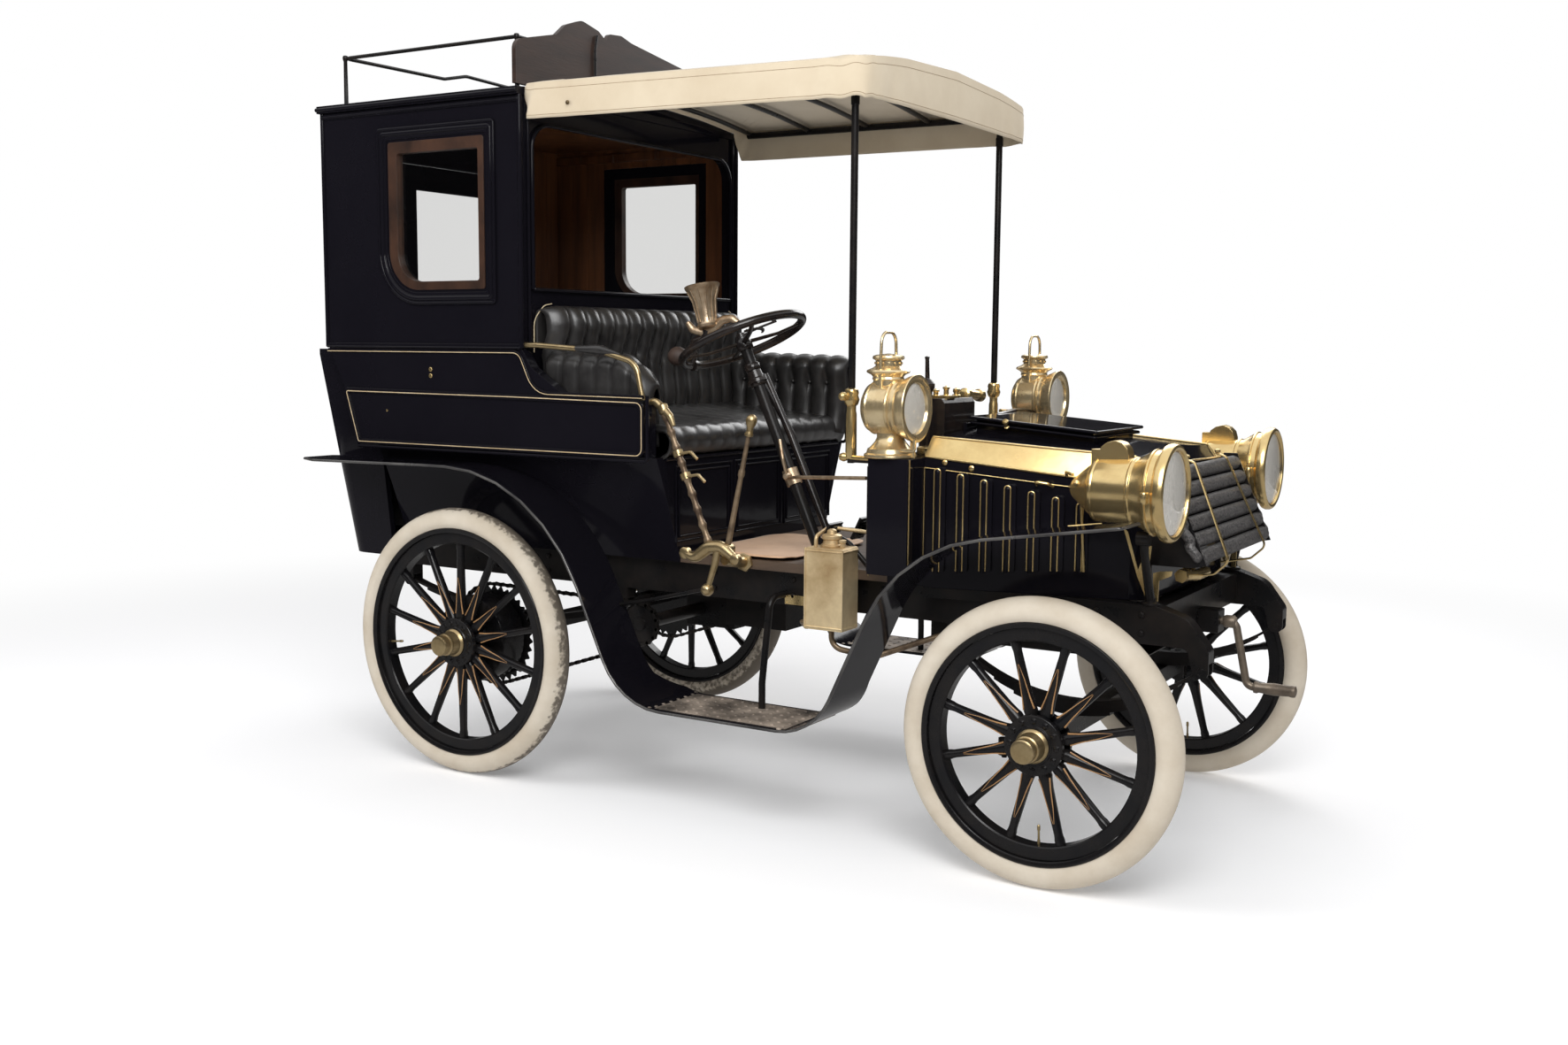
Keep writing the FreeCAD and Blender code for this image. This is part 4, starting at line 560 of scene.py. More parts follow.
# ---------------------------------------------------------------- side windows
# A deep black moulding, a mahogany sash that darkens in patches, and thin
# plate glass let into it.  The rear lower corner sweeps round.
mahogany = surface("mahogany", (0.115, 0.042, 0.017), 0.26, worn=(0.042, 0.015, 0.007), patches=5, share=0.85,
                   uneven=0.06, grain=50, relief=0.3, coat=0.35, stretch=(4, 4, 0.5), detail=7)
sash_wood = surface("worn_sash", (0.058, 0.027, 0.016), 0.34, worn=(0.015, 0.009, 0.007), patches=11,
                    share=0.9, uneven=0.08, grain=80, relief=0.5, stretch=(1, 1, 0.6))


def glazing(name, colour):
    """Thin sheet glass that light passes straight through."""
    material, add = new_material(name)
    facing = add("Math", add("LayerWeight", Blend=0.5).outputs["Facing"], 4.0, operation="POWER")
    share = add("MapRange", facing, To_Min=0.04, To_Max=0.9)
    add("OutputMaterial", add("MixShader", share, add("BsdfTransparent", Color=(*colour, 1)),
                              add("BsdfGlossy", Roughness=0.02, Color=(1, 1, 1, 1))))
    return material


plate_glass = glazing("plate_glass", (0.87, 0.87, 0.865))
dress(plate_glass, "window_glass")
# The rear, lower, front and upper edges and the radius of the sweep: of the opening in
# the panel, and of the glass that shows inside the sash.
OPENING = (-343, 1665, 86, 2160, 130)
SIGHT = (-307, 1689, 66, 2126, 100)


def window_line(y, edges, grow=0):
    """An outline at y with its rear lower corner swept, let out by grow all round."""
    rear, low, front, top, sweep = edges
    rear, low, front, top = rear - grow, low - grow, front + grow, top + grow
    return rounded([((rear, y, top), 10), ((front, y, top), 10), ((front, y, low), 10),
                    ((rear, y, low), sweep + grow)], closed=True, step=6)


window = Workpiece()
for y, grow, bar_radius in ((648, 34, 9), (650, 50, 6), (644, 18, 6)):
    window.tube(window_line(y, OPENING, grow), bar_radius, 10, closed=True)
window.frame(window_line(642, OPENING, 40), window_line(642, OPENING, 14), (0, 8, 0))
window.mirrored().made("window_mouldings", paint, "black_coachwork", sharp=50)
sash = Workpiece()
sash.frame(window_line(620, OPENING, 5), window_line(620, SIGHT), (0, 30, 0))
sash.tube(window_line(646, SIGHT, 4), 4, 8, closed=True)
sash.mirrored().made("window_sashes", sash_wood, "dark_wood", sharp=40, bevel=1.2)

# ---------------------------------------------------------------- cabin lining
# Upright tongued mahogany boards line the walls of the passengers' compartment under
# a plain ceiling; mahogany cappings run along the belt and below the ceiling.
lining_wood = surface("lining_boards", (0.16, 0.06, 0.022), 0.3, worn=(0.05, 0.019, 0.009), patches=4,
                      share=0.85, uneven=0.06, grain=50, relief=0.4, coat=0.3, stretch=(5, 5, 0.4), detail=7)
boards = Workpiece()
CEILING, WALL_LOW = 2284, 1470


def boarding(x0, x1, z0, z1, y):
    """A row of upright boards on a side wall, with a fine gap between them."""
    count = max(1, round((x1 - x0) / 72))
    wide = (x1 - x0) / count
    for i in range(count):
        boards.block((x0 + wide * i + 0.8, y - 6, z0), (x0 + wide * (i + 1) - 0.8, y, z1))


for x0, x1, z0, z1, y in ((-640, -392, WALL_LOW, CEILING, 615), (-392, 124, WALL_LOW, 1622, 615),
                          (-392, 124, 2202, CEILING, 615), (124, 214, WALL_LOW, CEILING, 615),
                          (-500, 214, 1125, 1462, 581)):
    boarding(x0, x1, z0, z1, y)
boards.mirrored()
REAR_DOOR_MIDDLE, REAR_DOOR_HALF = -37, 345
for i in range(16):
    y = -604 + 75.5 * i
    if abs(y - REAR_DOOR_MIDDLE) > REAR_DOOR_HALF:
        boards.block((-641, y + 1, WALL_LOW), (-634, y + 74.5, CEILING))
boards.block((-641, -615, CEILING - 5), (215, 615, CEILING))
boards.made("cabin_boards", lining_wood, "dark_wood", bevel=1.0)
capping = Workpiece()
for y in (606, -606):
    capping.block((-640, y - 14, 1455), (214, y + 2, 1476))
    capping.block((-640, y - 10, 2228), (214, y + 2, 2262))
capping.made("cabin_cappings", mahogany, "dark_wood", bevel=2.5)

# --------------------------------------------------------------- leather seats
# Buttoned black leather over horsehair: upright flutes gathered to a row of buttons,
# a fat roll along the top with a thin cream piping at its ends, and rolled arms.
leather = surface("black_leather", (0.014, 0.013, 0.013), 0.34, worn=(0.034, 0.032, 0.031), patches=12,
                  share=0.8, uneven=0.08, grain=420, relief=0.35, level=0.7, detail=6)
piping = surface("cream_piping", (0.55, 0.46, 0.30), 0.5, worn=(0.35, 0.27, 0.16), patches=40, share=0.7)


def woven(rows, columns):
    """The faces of a sheet whose points stand in rows."""
    return [(r * columns + c, r * columns + c + 1, (r + 1) * columns + c + 1, (r + 1) * columns + c)
            for r in range(rows - 1) for c in range(columns - 1)]


def padding(name, grid):
    """A stuffed leather skin over a grid of points, on a thick backing."""
    piece = mesh_piece(name, [at(*p) for row in grid for p in row], woven(len(grid), len(grid[0])))
    face_outwards(piece, weld=1e-5)
    piece.data.materials.append(leather)
    backing = piece.modifiers.new("backing", "SOLIDIFY")
    backing.thickness, backing.offset = 0.01, -1
    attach(piece, "car")
    return piece


def flute(share, sharp=1.7):
    """The swell across one channel, nought in its seam and one on its crown."""
    return abs(math.sin(math.pi * share)) ** (1 / sharp)


def gather(across):
    """How near a seam is, one in it and nought half a channel away, squared."""
    return (1 - min(1, 2 * abs(across - round(across)))) ** 2


BACK_HALF, FLUTES, PER_FLUTE, BACK_ROWS, BUTTON_SHARE = 581, 15, 8, 52, 0.42


def back_profile(share):
    """A smooth curve from the cushion up the face, over the roll and down behind it."""
    line = ((300, 1150), (322, 1200), (338, 1290), (330, 1375), (332, 1430), (352, 1500), (358, 1548),
            (338, 1592), (300, 1606), (264, 1592), (250, 1550), (249, 1480))
    place = share * (len(line) - 1)
    i = min(int(place), len(line) - 2)
    t = place - i
    a, b, c, d = [Vector(line[max(0, min(len(line) - 1, k))]) for k in (i - 1, i, i + 1, i + 2)]
    return 0.5 * (2 * b + (c - a) * t + (2 * a - 5 * b + 4 * c - d) * t * t
                  + (3 * b - a - 3 * c + d) * t ** 3)


grid = []
for share in [r / BACK_ROWS for r in range(BACK_ROWS + 1)]:
    x, z = back_profile(share)
    depth = 26 if share < 0.72 else 26 * max(0, 1 - (share - 0.72) / 0.22)
    row = []
    for across in [c / PER_FLUTE for c in range(FLUTES * PER_FLUTE + 1)]:
        y = -BACK_HALF + 2 * BACK_HALF * across / FLUTES
        pinch = math.exp(-((share - BUTTON_SHARE) / 0.05) ** 2) * gather(across)
        wrinkle = 2.2 * math.sin(share * 90 + across * 5.1) * math.exp(-((share - BUTTON_SHARE) / 0.13) ** 2)
        corner_turn = 1 - 0.42 * max(0, (abs(y) - 460) / 121) ** 2
        push = depth * (flute(across) - 0.75) - 22 * pinch + wrinkle
        row.append((245 + (x - 245 + push) * corner_turn, y,
                    z - 8 * pinch - 14 * max(0, (abs(y) - 520) / 61) ** 2))
    grid.append(row)
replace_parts(padding("seat_back_pad", grid), "seat_back")


def left_top(share):
    """The height of the left arm's roll along its length."""
    return 1456 - 12 * share


def right_top(share):
    """The right arm's roll, which falls away in front towards the driver's step."""
    return 1458 - 12 * share - 84 * max(0, (share - 0.7) / 0.3) ** 1.6


ARMS = (("left", 1, 520, 7, left_top), ("right", -1, 418, 6, right_top))
ARM_START, ARM_LOW, ROLL_Y, ROLL_RADIUS = 300, 1160, 546, 54


def arm_pad(name, side, length, channels, top):
    """A buttoned arm: its channels rise inside, fan over a roll and fall again outside."""
    grid = []
    for across in [c / PER_FLUTE for c in range(channels * PER_FLUTE + 1)]:
        axis = top(across / channels) - 56
        end = max(0, (across - (channels - 0.8)) / 0.8)
        swell = 1 + 0.2 * (flute(across) - 0.7)
        row = []
        for share in [r / 44 for r in range(45)]:
            if share < 0.3:
                y, z = 492 + 14 * math.sin(share / 0.3 * math.pi), ARM_LOW + (axis - ARM_LOW) * share / 0.3
                pinch = 16 * gather(across) * math.exp(-((share - 0.24) / 0.04) ** 2)
                y += pinch - 18 * (flute(across) - 0.7)
            elif share < 0.72:
                angle = math.pi * (1 - (share - 0.3) / 0.42)
                y = ROLL_Y + ROLL_RADIUS * math.cos(angle) * swell
                z = axis + ROLL_RADIUS * math.sin(angle) * swell
            else:
                y, z = ROLL_Y + ROLL_RADIUS * swell, axis + (1304 - axis) * (share - 0.72) / 0.28
            x = ARM_START + length * across / channels + 12 * math.sin(math.pi * share) * end
            row.append((x, side * (ROLL_Y + (y - ROLL_Y) * (1 - 0.5 * end ** 3)), z - 12 * end ** 2))
        grid.append(row)
    return padding(name, grid)


for hand, side, length, channels, top in ARMS:
    arm_pad(hand + "_arm_pad", side, length, channels, top)

# The cushion slopes back under the flutes, rolls over its front edge and is sat
# hollow in two places.
CUSHION_HALF, FACE_SHARE = 568, 0.62
cushion = []
for share in [r / 40 for r in range(41)]:
    line = []
    for across in [c / 120 for c in range(121)]:
        y = CUSHION_HALF * (2 * across - 1)
        if share < FACE_SHARE:
            x, z, push = 300 + 460 * share / FACE_SHARE, 1262 - 44 * share / FACE_SHARE, 9
        else:
            turn = (share - FACE_SHARE) / 0.38 * math.pi
            x, z, push = 760 + 38 * math.sin(turn), 1170 + 48 * math.cos(turn), 4
        fan = y * (1 - 0.22 * (1 - min(1, share / FACE_SHARE)))
        pleat = flute(fan / 76 + 0.5, 2.0) - 0.75
        sag = sum(-9 * math.exp(-((y - seat) / 190) ** 2 - ((x - 540) / 150) ** 2) for seat in (-290, 290))
        crease = 1.6 * math.sin(x * 0.11 + y * 0.07) * math.sin(y * 0.031 + 1.3)
        edge = -10 * max(0, (abs(y) - 530) / 38) ** 2
        line.append((x + (push * pleat if share > FACE_SHARE else 0), y,
                     z + push * pleat + sag + crease + edge))
    cushion.append(line)
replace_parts(padding("seat_cushion_pad", cushion), "seat_cushion")
buttons = Workpiece()
for i in range(1, FLUTES):
    x, z = back_profile(BUTTON_SHARE)
    spot = (x - 34, -BACK_HALF + 2 * BACK_HALF * i / FLUTES, z - 10)
    buttons.turn([(-3, 8), (1, 8), (4, 5.5), (5, 0.5)], spot, (1, 0, 0.1), 16)
for hand, side, length, channels, top in ARMS:
    for i in range(1, channels):
        spot = (ARM_START + length * i / channels, side * 512, top(i / channels) - 104)
        buttons.turn([(-3, 7), (1, 7), (4, 5), (5, 0.5)], spot, (0, -side, 0.2), 16)
buttons.made("leather_buttons", leather, "black_leather", sharp=60)
cord_line = Workpiece()
for side in (-1, 1):
    cord_line.tube([(258, side * 598, 1450), ((256, side * 594, 1560), 70), ((276, side * 566, 1606), 24),
                    (284, side * 536, 1612)], 2.0, 8)
cord_line.made("leather_piping", piping, "black_leather", sharp=60)
rest = Workpiece().tube([(404, -631, 1466), ((560, -631, 1461), 100), (642, -631, 1446)],
                        lambda share: 4 + 13 * math.sin(math.pi * share) ** 0.35, 14)
rest.made("rail_pad", leather, "black_leather", sharp=70)
dress(dull_brass, "arm_rail")

# Below the cushion the front of the seat box has three panels framed in double black
# mouldings, under a plain rail.
heel = Workpiece()
for y0, y1 in ((-500, -175), (-150, 150), (175, 500)):
    for inset in (0, 16):
        left_edge, right_edge, top_edge, low_edge = y1 - inset, y0 + inset, 1085 - inset, 840 + inset
        heel.tube([(768, right_edge, top_edge), (768, left_edge, top_edge), (768, left_edge, low_edge),
                   (768, right_edge, low_edge)], 4.5, 8, closed=True)
heel.tube([(770, -560, 1112), (770, 560, 1112)], 6, 8)
heel.made("seat_box_mouldings", paint, "black_coachwork")

# Two benches along the cabin's sides have eight plain flutes each, rolled down in front.
for side in (-1, 1):
    grid = []
    for share in [r / 24 for r in range(25)]:
        turn = min(1, max(0, (share - 0.62) / 0.38)) * math.pi / 2
        y = 455 - 200 * min(1, share / 0.62) - 22 * math.sin(turn)
        grid.append([(-575 + 750 * c / 48, side * y,
                      1178 - 48 * (1 - math.cos(turn)) + 16 * flute(c / 6, 2.2)) for c in range(49)])
    padding("bench_pad_" + ("left" if side > 0 else "right"), grid)
dress(leather, "cabin_seats", "seat_back", "seat_cushion")

# -------------------------------------------------------------------- headlamps
# Spun and planished brass: a pointed tail, a cylinder with rolled beads, a flared
# front with a hinged bezel, a domed glass over a silvered dish.  An iron stay bolted
# to the frame carries each lamp.
lamp_glass = glazing("lamp_glass", (0.985, 0.98, 0.97))
silver = surface("silvered_dish", (0.97, 0.955, 0.92), 0.28, worn=(0.84, 0.82, 0.78), patches=9, share=0.6,
                 uneven=0.06, metal=0.15, grain=30, relief=2.5, level=1.0)
LAMP_X, LAMP_Y, LAMP_Z = 2123, 524, 1093
for hand, side in (("right", -1), ("left", 1)):
    y = side * LAMP_Y
    centre = (LAMP_X, y, LAMP_Z)
    shell = Workpiece()
    shell.turn([(0, 0.5), (1, 12), (9, 25), (36, 49), (62, 70), (72, 77), (76, 84), (80, 87), (84, 88),
                (88, 86), (92, 88), (182, 91), (186, 94), (190, 94), (194, 91), (206, 96), (222, 106),
                (236, 114), (240, 118), (245, 119), (247, 115), (262, 116), (266, 121), (272, 131),
                (280, 134), (290, 133.5), (297, 130), (300, 124), (298, 117), (290, 114), (286, 112),
                (284, 0.5)], centre, (1, 0, 0), 72)
    for turn in (-1, 1):
        shell.turn([(-16, 4), (-16, 9), (-10, 11), (10, 11), (16, 9), (16, 4)],
                   (LAMP_X + 246, y + turn * 118, LAMP_Z - 6), (0, 0, 1), 14)
    hood_of_vent = [(0, 0), (0, 44), (8, 62), (24, 74), (46, 80), (66, 74), (80, 60), (86, 40), (86, 0)]
    shell.slab([(LAMP_X + 85 + a, y - 24, 1150 + b) for a, b in hood_of_vent], (0, 48, 0))
    shell.block((LAMP_X + 63, y - 17, 1160), (LAMP_X + 109, y + 17, 1204))
    shell.turn([(0, 6), (5, 9), (12, 9), (18, 5), (19, 0.5)], (LAMP_X + 47, side * (LAMP_Y + 70), 1110),
               (0, side, 0.3), 14)
    shell.tube([(LAMP_X + 5, y, 1130), ((LAMP_X - 23, side * (LAMP_Y - 24), 1134), 10),
                (LAMP_X - 39, side * 455, 1120)], 5, 10)
    shell.made("headlamp_shell_" + hand, brass, "brass", replaces=["headlamp_" + hand], sharp=32, bevel=1.0)
    dish = Workpiece().turn([(289, 112), (284, 110), (262, 92), (236, 66), (214, 38), (203, 14), (202, 0.5)],
                            centre, (1, 0, 0), 64)
    dish.turn([(210, 9), (236, 9), (240, 5), (256, 4), (262, 0.5)], centre, (1, 0, 0), 20)
    dish.made("headlamp_dish_" + hand, silver, "brass", sharp=50)
    lens = Workpiece().turn([(290, 113), (294, 113), (302, 90), (305, 50), (306, 0.5)], centre, (1, 0, 0), 64)
    lens.made("headlamp_lens_" + hand, lamp_glass, "window_glass", sharp=60)
    stay = Workpiece()
    stay.tube([(LAMP_X + 212, y, 980), ((LAMP_X + 212, side * 516, 930), 60),
               ((LAMP_X + 204, side * 425, 790), 40), (LAMP_X + 204, side * 420, 772)],
              lambda s: 14 - 3 * math.sin(math.pi * s), 14)
    stay.turn([(0, 26), (6, 26), (10, 16), (20, 14)], (LAMP_X + 204, side * 420, 770), (0, 0, 1), 20)
    stay.tube([(LAMP_X + 195, y, 966), (LAMP_X + 229, y, 966)], 20, 16)
    stay.made("headlamp_stay_" + hand, iron, "black_iron")

# ------------------------------------------------------------------- side lamps
# Spun brass oil lamps on stepped feet, each with a double-capped chimney, a flared
# front over a small silvered dish, and a bail soldered to its drum.
pale_brass = surface("pale_brass", (0.86, 0.70, 0.43), 0.25, worn=(0.62, 0.45, 0.23), patches=16, share=0.7,
                     uneven=0.08, metal=0.84, grain=90, relief=0.35)
SIDE_LAMP_Y, DRUM_BACK, CHIMNEY_X, DRUM_Z = 557, 1495, 1567, 1300
for hand, side in (("right", -1), ("left", 1)):
    y = side * SIDE_LAMP_Y
    lamp = Workpiece()
    lamp.turn([(0, 0.5), (0, 74), (4, 78), (10, 77), (14, 70), (26, 67), (30, 60), (46, 46), (58, 40),
               (72, 40), (84, 50), (92, 60), (104, 64), (110, 0.5)], (CHIMNEY_X + 10, y, 1155), (0, 0, 1), 56)
    lamp.turn([(0, 0.5), (3, 34), (10, 56), (20, 70), (30, 75.5), (34, 78.5), (38, 76), (44, 78), (96, 78),
               (100, 81), (104, 78), (110, 80), (114, 84), (118, 80), (126, 80), (132, 86), (150, 94),
               (162, 98), (166, 100), (169, 98), (170, 90), (165, 76), (160, 74), (152, 72), (140, 66),
               (138, 0.5)], (DRUM_BACK, y, DRUM_Z), (1, 0, 0), 64)
    lamp.turn([(0, 45), (50, 44), (54, 47), (60, 45), (66, 50), (72, 62), (76, 64), (80, 61), (86, 46),
               (92, 38), (108, 38), (112, 46), (116, 47), (121, 45), (124, 36), (128, 0.5)],
              (CHIMNEY_X, y, DRUM_Z + 30), (0, 0, 1), 48)
    for turn in [2 * math.pi * k / 12 for k in range(12)]:
        lamp.turn([(0, 3.6), (3, 3.6), (3.5, 0.5)],
                  (CHIMNEY_X + 38 * math.cos(turn), y + 38 * math.sin(turn), DRUM_Z + 130),
                  (math.cos(turn), math.sin(turn), 0), 8)
    lamp.tube([(CHIMNEY_X, y - 47, 1352), ((CHIMNEY_X, y - 50, 1412), 8), ((CHIMNEY_X, y - 44, 1519), 34),
               ((CHIMNEY_X, y + 44, 1519), 34), ((CHIMNEY_X, y + 50, 1412), 8), (CHIMNEY_X, y + 47, 1352)],
              4.6, 12)
    lamp.tube([(1655, y - 10, 1204), (1650, y, 1170), (1650, y, 1156)], 8, 12)
    lamp.tube([(1632, y + side * 40, 1180), ((1676, y + side * 40, 1180), 8), (1676, y + side * 40, 1212)],
              5, 10)
    lamp.made("side_lamp_brass_" + hand, pale_brass, "brass", replaces=["side_lamp_" + hand], sharp=30)
    dish = Workpiece().turn([(157, 73), (150, 68), (128, 44), (118, 16), (117, 0.5)],
                            (DRUM_BACK, y, DRUM_Z), (1, 0, 0), 48)
    dish.made("side_lamp_dish_" + hand, silver, "brass", sharp=50)
    lens = Workpiece().turn([(159, 75), (162, 74), (167, 50), (169, 0.5)],
                            (DRUM_BACK, y, DRUM_Z), (1, 0, 0), 48)
    lens.made("side_lamp_glass_" + hand, lamp_glass, "window_glass", sharp=60)

# ------------------------------------------------------------------------- hood
# A folded sheet hood with polished brass chamfers, beaded louvres pressed out of
# its sides and a raised two-leaf lid held down by a brass button.
dress(brass, "brass_trim")
HOOD_REAR, HOOD_FRONT = 1664, 2250


def hood_half(x):
    """Half the hood's width at x, as its sides draw in towards the front."""
    return 500 - (x - HOOD_REAR + 2) * 120 / 588


hood_brass, hood_black = Workpiece(), Workpiece()
for i in range(7):
    x, low, high = 1706 + 68 * i, 822 + 4 * i, 1124 - 14 * i
    behind, front = (x - 9, -hood_half(x - 9) - 15), (x + 9, -hood_half(x + 9) - 15)
    hood_brass.tube([(*behind, low), ((*behind, high), 9), ((*front, high), 9), (*front, low)], 2.6, 8)
    hood_black.tube([(x, -hood_half(x) - 9, low - 4), ((x, -hood_half(x) - 11, low + 6), 8),
                     ((x, -hood_half(x) - 11, high - 10), 8), (x, -hood_half(x) - 4, high + 2)], 8.5, 10)
hood_brass.tube([(HOOD_REAR, -501, 1159), (HOOD_FRONT, -381, 1097)], 4, 10)
hood_brass.tube([(HOOD_REAR, -451, 1214), (HOOD_FRONT, -351, 1174)], 4, 10)
hood_brass.tube([(HOOD_FRONT, -381, 1097), ((2262, -372, 1085), 8), (2300, -350, 1049)], 3, 8)
hood_brass.tube([(HOOD_FRONT, -351, 1175), ((2272, -336, 1158), 20), (2301, -314, 1122)], 2.4, 8)
hood_brass.tube([(HOOD_REAR, -504, 1126), (2240, -388, 1070)], 1.8, 8)
hood_brass.tube([(HOOD_REAR, -505, 1126), (HOOD_REAR, -505, 800)], 2.2, 8)
hood_brass.mirrored()
hood_brass.tube([(2302, -330, 1138), (2306, 0, 1146), (2302, 330, 1138)], 4, 10)
hood_brass.turn([(0, 8), (3, 8), (5, 5), (14, 4), (16, 9), (24, 10), (28, 7), (29, 0.5)], (1800, -222, 1236),
                (0, -0.7, 1), 20)

# The right side alone has two studs on the seam, a catch bar with its cross piece, and
# a lifting handle; brass facings close the hood's front corners on both sides.
for x, z in ((1722, 1142), (1800, 1128)):
    hood_brass.turn([(0, 9), (2, 9), (4, 6), (5, 0.5)], (x, -hood_half(x) - 2, z), (0, -1, 0), 16)


def beside_hood(x, out, z):
    """A point so far outside the hood's right side."""
    return (x, -hood_half(x) - out, z)


hood_brass.tube([beside_hood(2120, 22, 1042), beside_hood(2132, 22, 846)], 4.5, 10)
hood_brass.tube([beside_hood(2088, 30, 974), beside_hood(2180, 26, 985)], 5, 10)
hood_brass.tube([beside_hood(1990, 10, 1088), (beside_hood(1996, 34, 1098), 8),
                 (beside_hood(2030, 34, 1094), 8), beside_hood(2036, 10, 1084)], 4.5, 10)
for outline in (((2236, 979), (2250, 968), (2283, 862), (2306, 932), (2320, 932), (2307, 786), (2281, 842)),
                ((2326, 856), (2344, 862), (2380, 866), (2378, 852), (2344, 836), (2342, 764), (2328, 764))):
    for side in (-1, 1):
        hood_brass.slab([(x, side * 401, z) for x, z in outline], (0, side * 3, 0))
hood_brass.made("hood_brass", brass, "brass", sharp=35, bevel=0.5)
hood_black.mirrored().made("hood_louvres", paint, "black_coachwork")
lid_edge = Workpiece()
for lift, grow in ((0, 0), (16, 8)):
    half, front = 200 + grow, 2072 + grow
    lid_edge.tube([((1672, -half, 1247 + lift), 4), ((front, -half, 1214 + lift), 4),
                   ((front, half, 1214 + lift), 4), ((1672, half, 1247 + lift), 4)], 5, 10, closed=True)
lid_edge.made("hood_lid_beads", paint, "black_coachwork")

# --------------------------------------------------------------------- radiator
# Six rows of copper tube wound with crimped gills, dead black, strapped to the
# front cross member by two brass-faced bars.
gills = surface("gilled_tube", (0.02, 0.019, 0.02), 0.42, worn=(0.18, 0.17, 0.165), patches=170, share=0.95,
                uneven=0.1, metal=0.3, grain=260, relief=2.0)
TUBES, TOP_TUBE, PITCH = 6, 1120, 44


def row_x(z):
    """How far forward the leaning face of the radiator stands at a height."""
    return 2335 + (TOP_TUBE - z) * 113 / 249


rows = Workpiece()
crimps = [(0, 0.5), (0, 20)]
for a in [5 + 7.2 * k for k in range(96)]:
    crimps += [(a, 17.5), (a + 3.2, 17.5), (a + 3.7, 22.5), (a + 6.6, 22.5)]
crimps += [(700, 20), (700, 0.5)]
for z in [TOP_TUBE - PITCH * i for i in range(TUBES)]:
    rows.turn(crimps, (row_x(z), -350, z), (0, 1, 0), 20)
for z in [TOP_TUBE - PITCH * (i + 0.5) for i in range(TUBES - 1)]:
    x = row_x(z)
    for end in (-1, 1):
        rows.tube([(x - 10, end * 352, z + 22), ((x - 10, end * 372, z + 12), 10),
                   ((x + 10, end * 372, z - 12), 10), (x + 10, end * 352, z - 22)], 14, 12)
rows.made("radiator_tubes", gills, "radiator_black", replaces=["radiator"], sharp=45)
cheeks = Workpiece()
for y in (-359, 351):
    cheeks.slab([(2303, y, 1150), (2345, y, 1150), (2460, y, 880), (2418, y, 872), (2306, y, 872),
                 (2306, y, 770), (2286, y, 770), (2286, y, 1110)], (0, 8, 0))
cheeks.made("radiator_cheeks", iron, "radiator_black", bevel=1.0)
straps = Workpiece()
for side in (-1, 1):
    straps.tube([(2330, side * 160, 1162), ((2362, side * 162, 1150), 16), ((2482, side * 206, 878), 22),
                 ((2440, side * 200, 838), 20), (2350, side * 196, 820)], 8, 10, flat=0.4, lie=(0, 1, 0))
    straps.turn([(0, 9), (6, 9), (9, 6), (10, 0.5)], (2336, side * 160, 1164), (0, 0, 1), 14)

# Below the tubes a brass pipe with three hexagon nuts leads inwards.
straps.tube([(2372, -300, 842), ((2392, -205, 832), 10), (2392, -120, 832)], 16, 14)
for y in (-300, -262, -224):
    straps.turn([(-8, 20), (8, 20), (8, 0.5)], (2376, y, 840), (0, 1, 0), 6)
straps.made("radiator_straps", brass, "brass", sharp=40)

# ---------------------------------------------------------------------- canopy
# One piece of cream duck is stretched over six thin bows and tacked down.  Its front
# and side edges hang as a hemmed valance; the back edge is nailed to the cabin.
duck = surface("cream_duck", (0.60, 0.515, 0.385), 0.85, worn=(0.50, 0.41, 0.29), patches=3.2, share=0.8,
               uneven=0.05, grain=500, relief=0.25, level=0.2, sheen=0.2, detail=9)
thread = surface("waxed_thread", (0.26, 0.19, 0.12), 0.7, worn=(0.40, 0.31, 0.21), patches=90, share=0.8)
soot = surface("smoked_brass", (0.20, 0.14, 0.07), 0.4, worn=(0.08, 0.06, 0.04), patches=22, share=0.8,
               uneven=0.1, metal=0.8)
CLOTH_REAR, REAR_HALF, REAR_Z = 246, 646, 2324
CLOTH_FRONT, FRONT_HALF, FRONT_Z = 1505, 600, 2309
CROWN, AROUND, VALANCE_END = 45, 288, 2.0


def canopy_edge(along):
    """The half width and the height of the cloth's side edge, along from the back to the front."""
    return REAR_HALF + (FRONT_HALF - REAR_HALF) * along, REAR_Z + (FRONT_Z - REAR_Z) * along


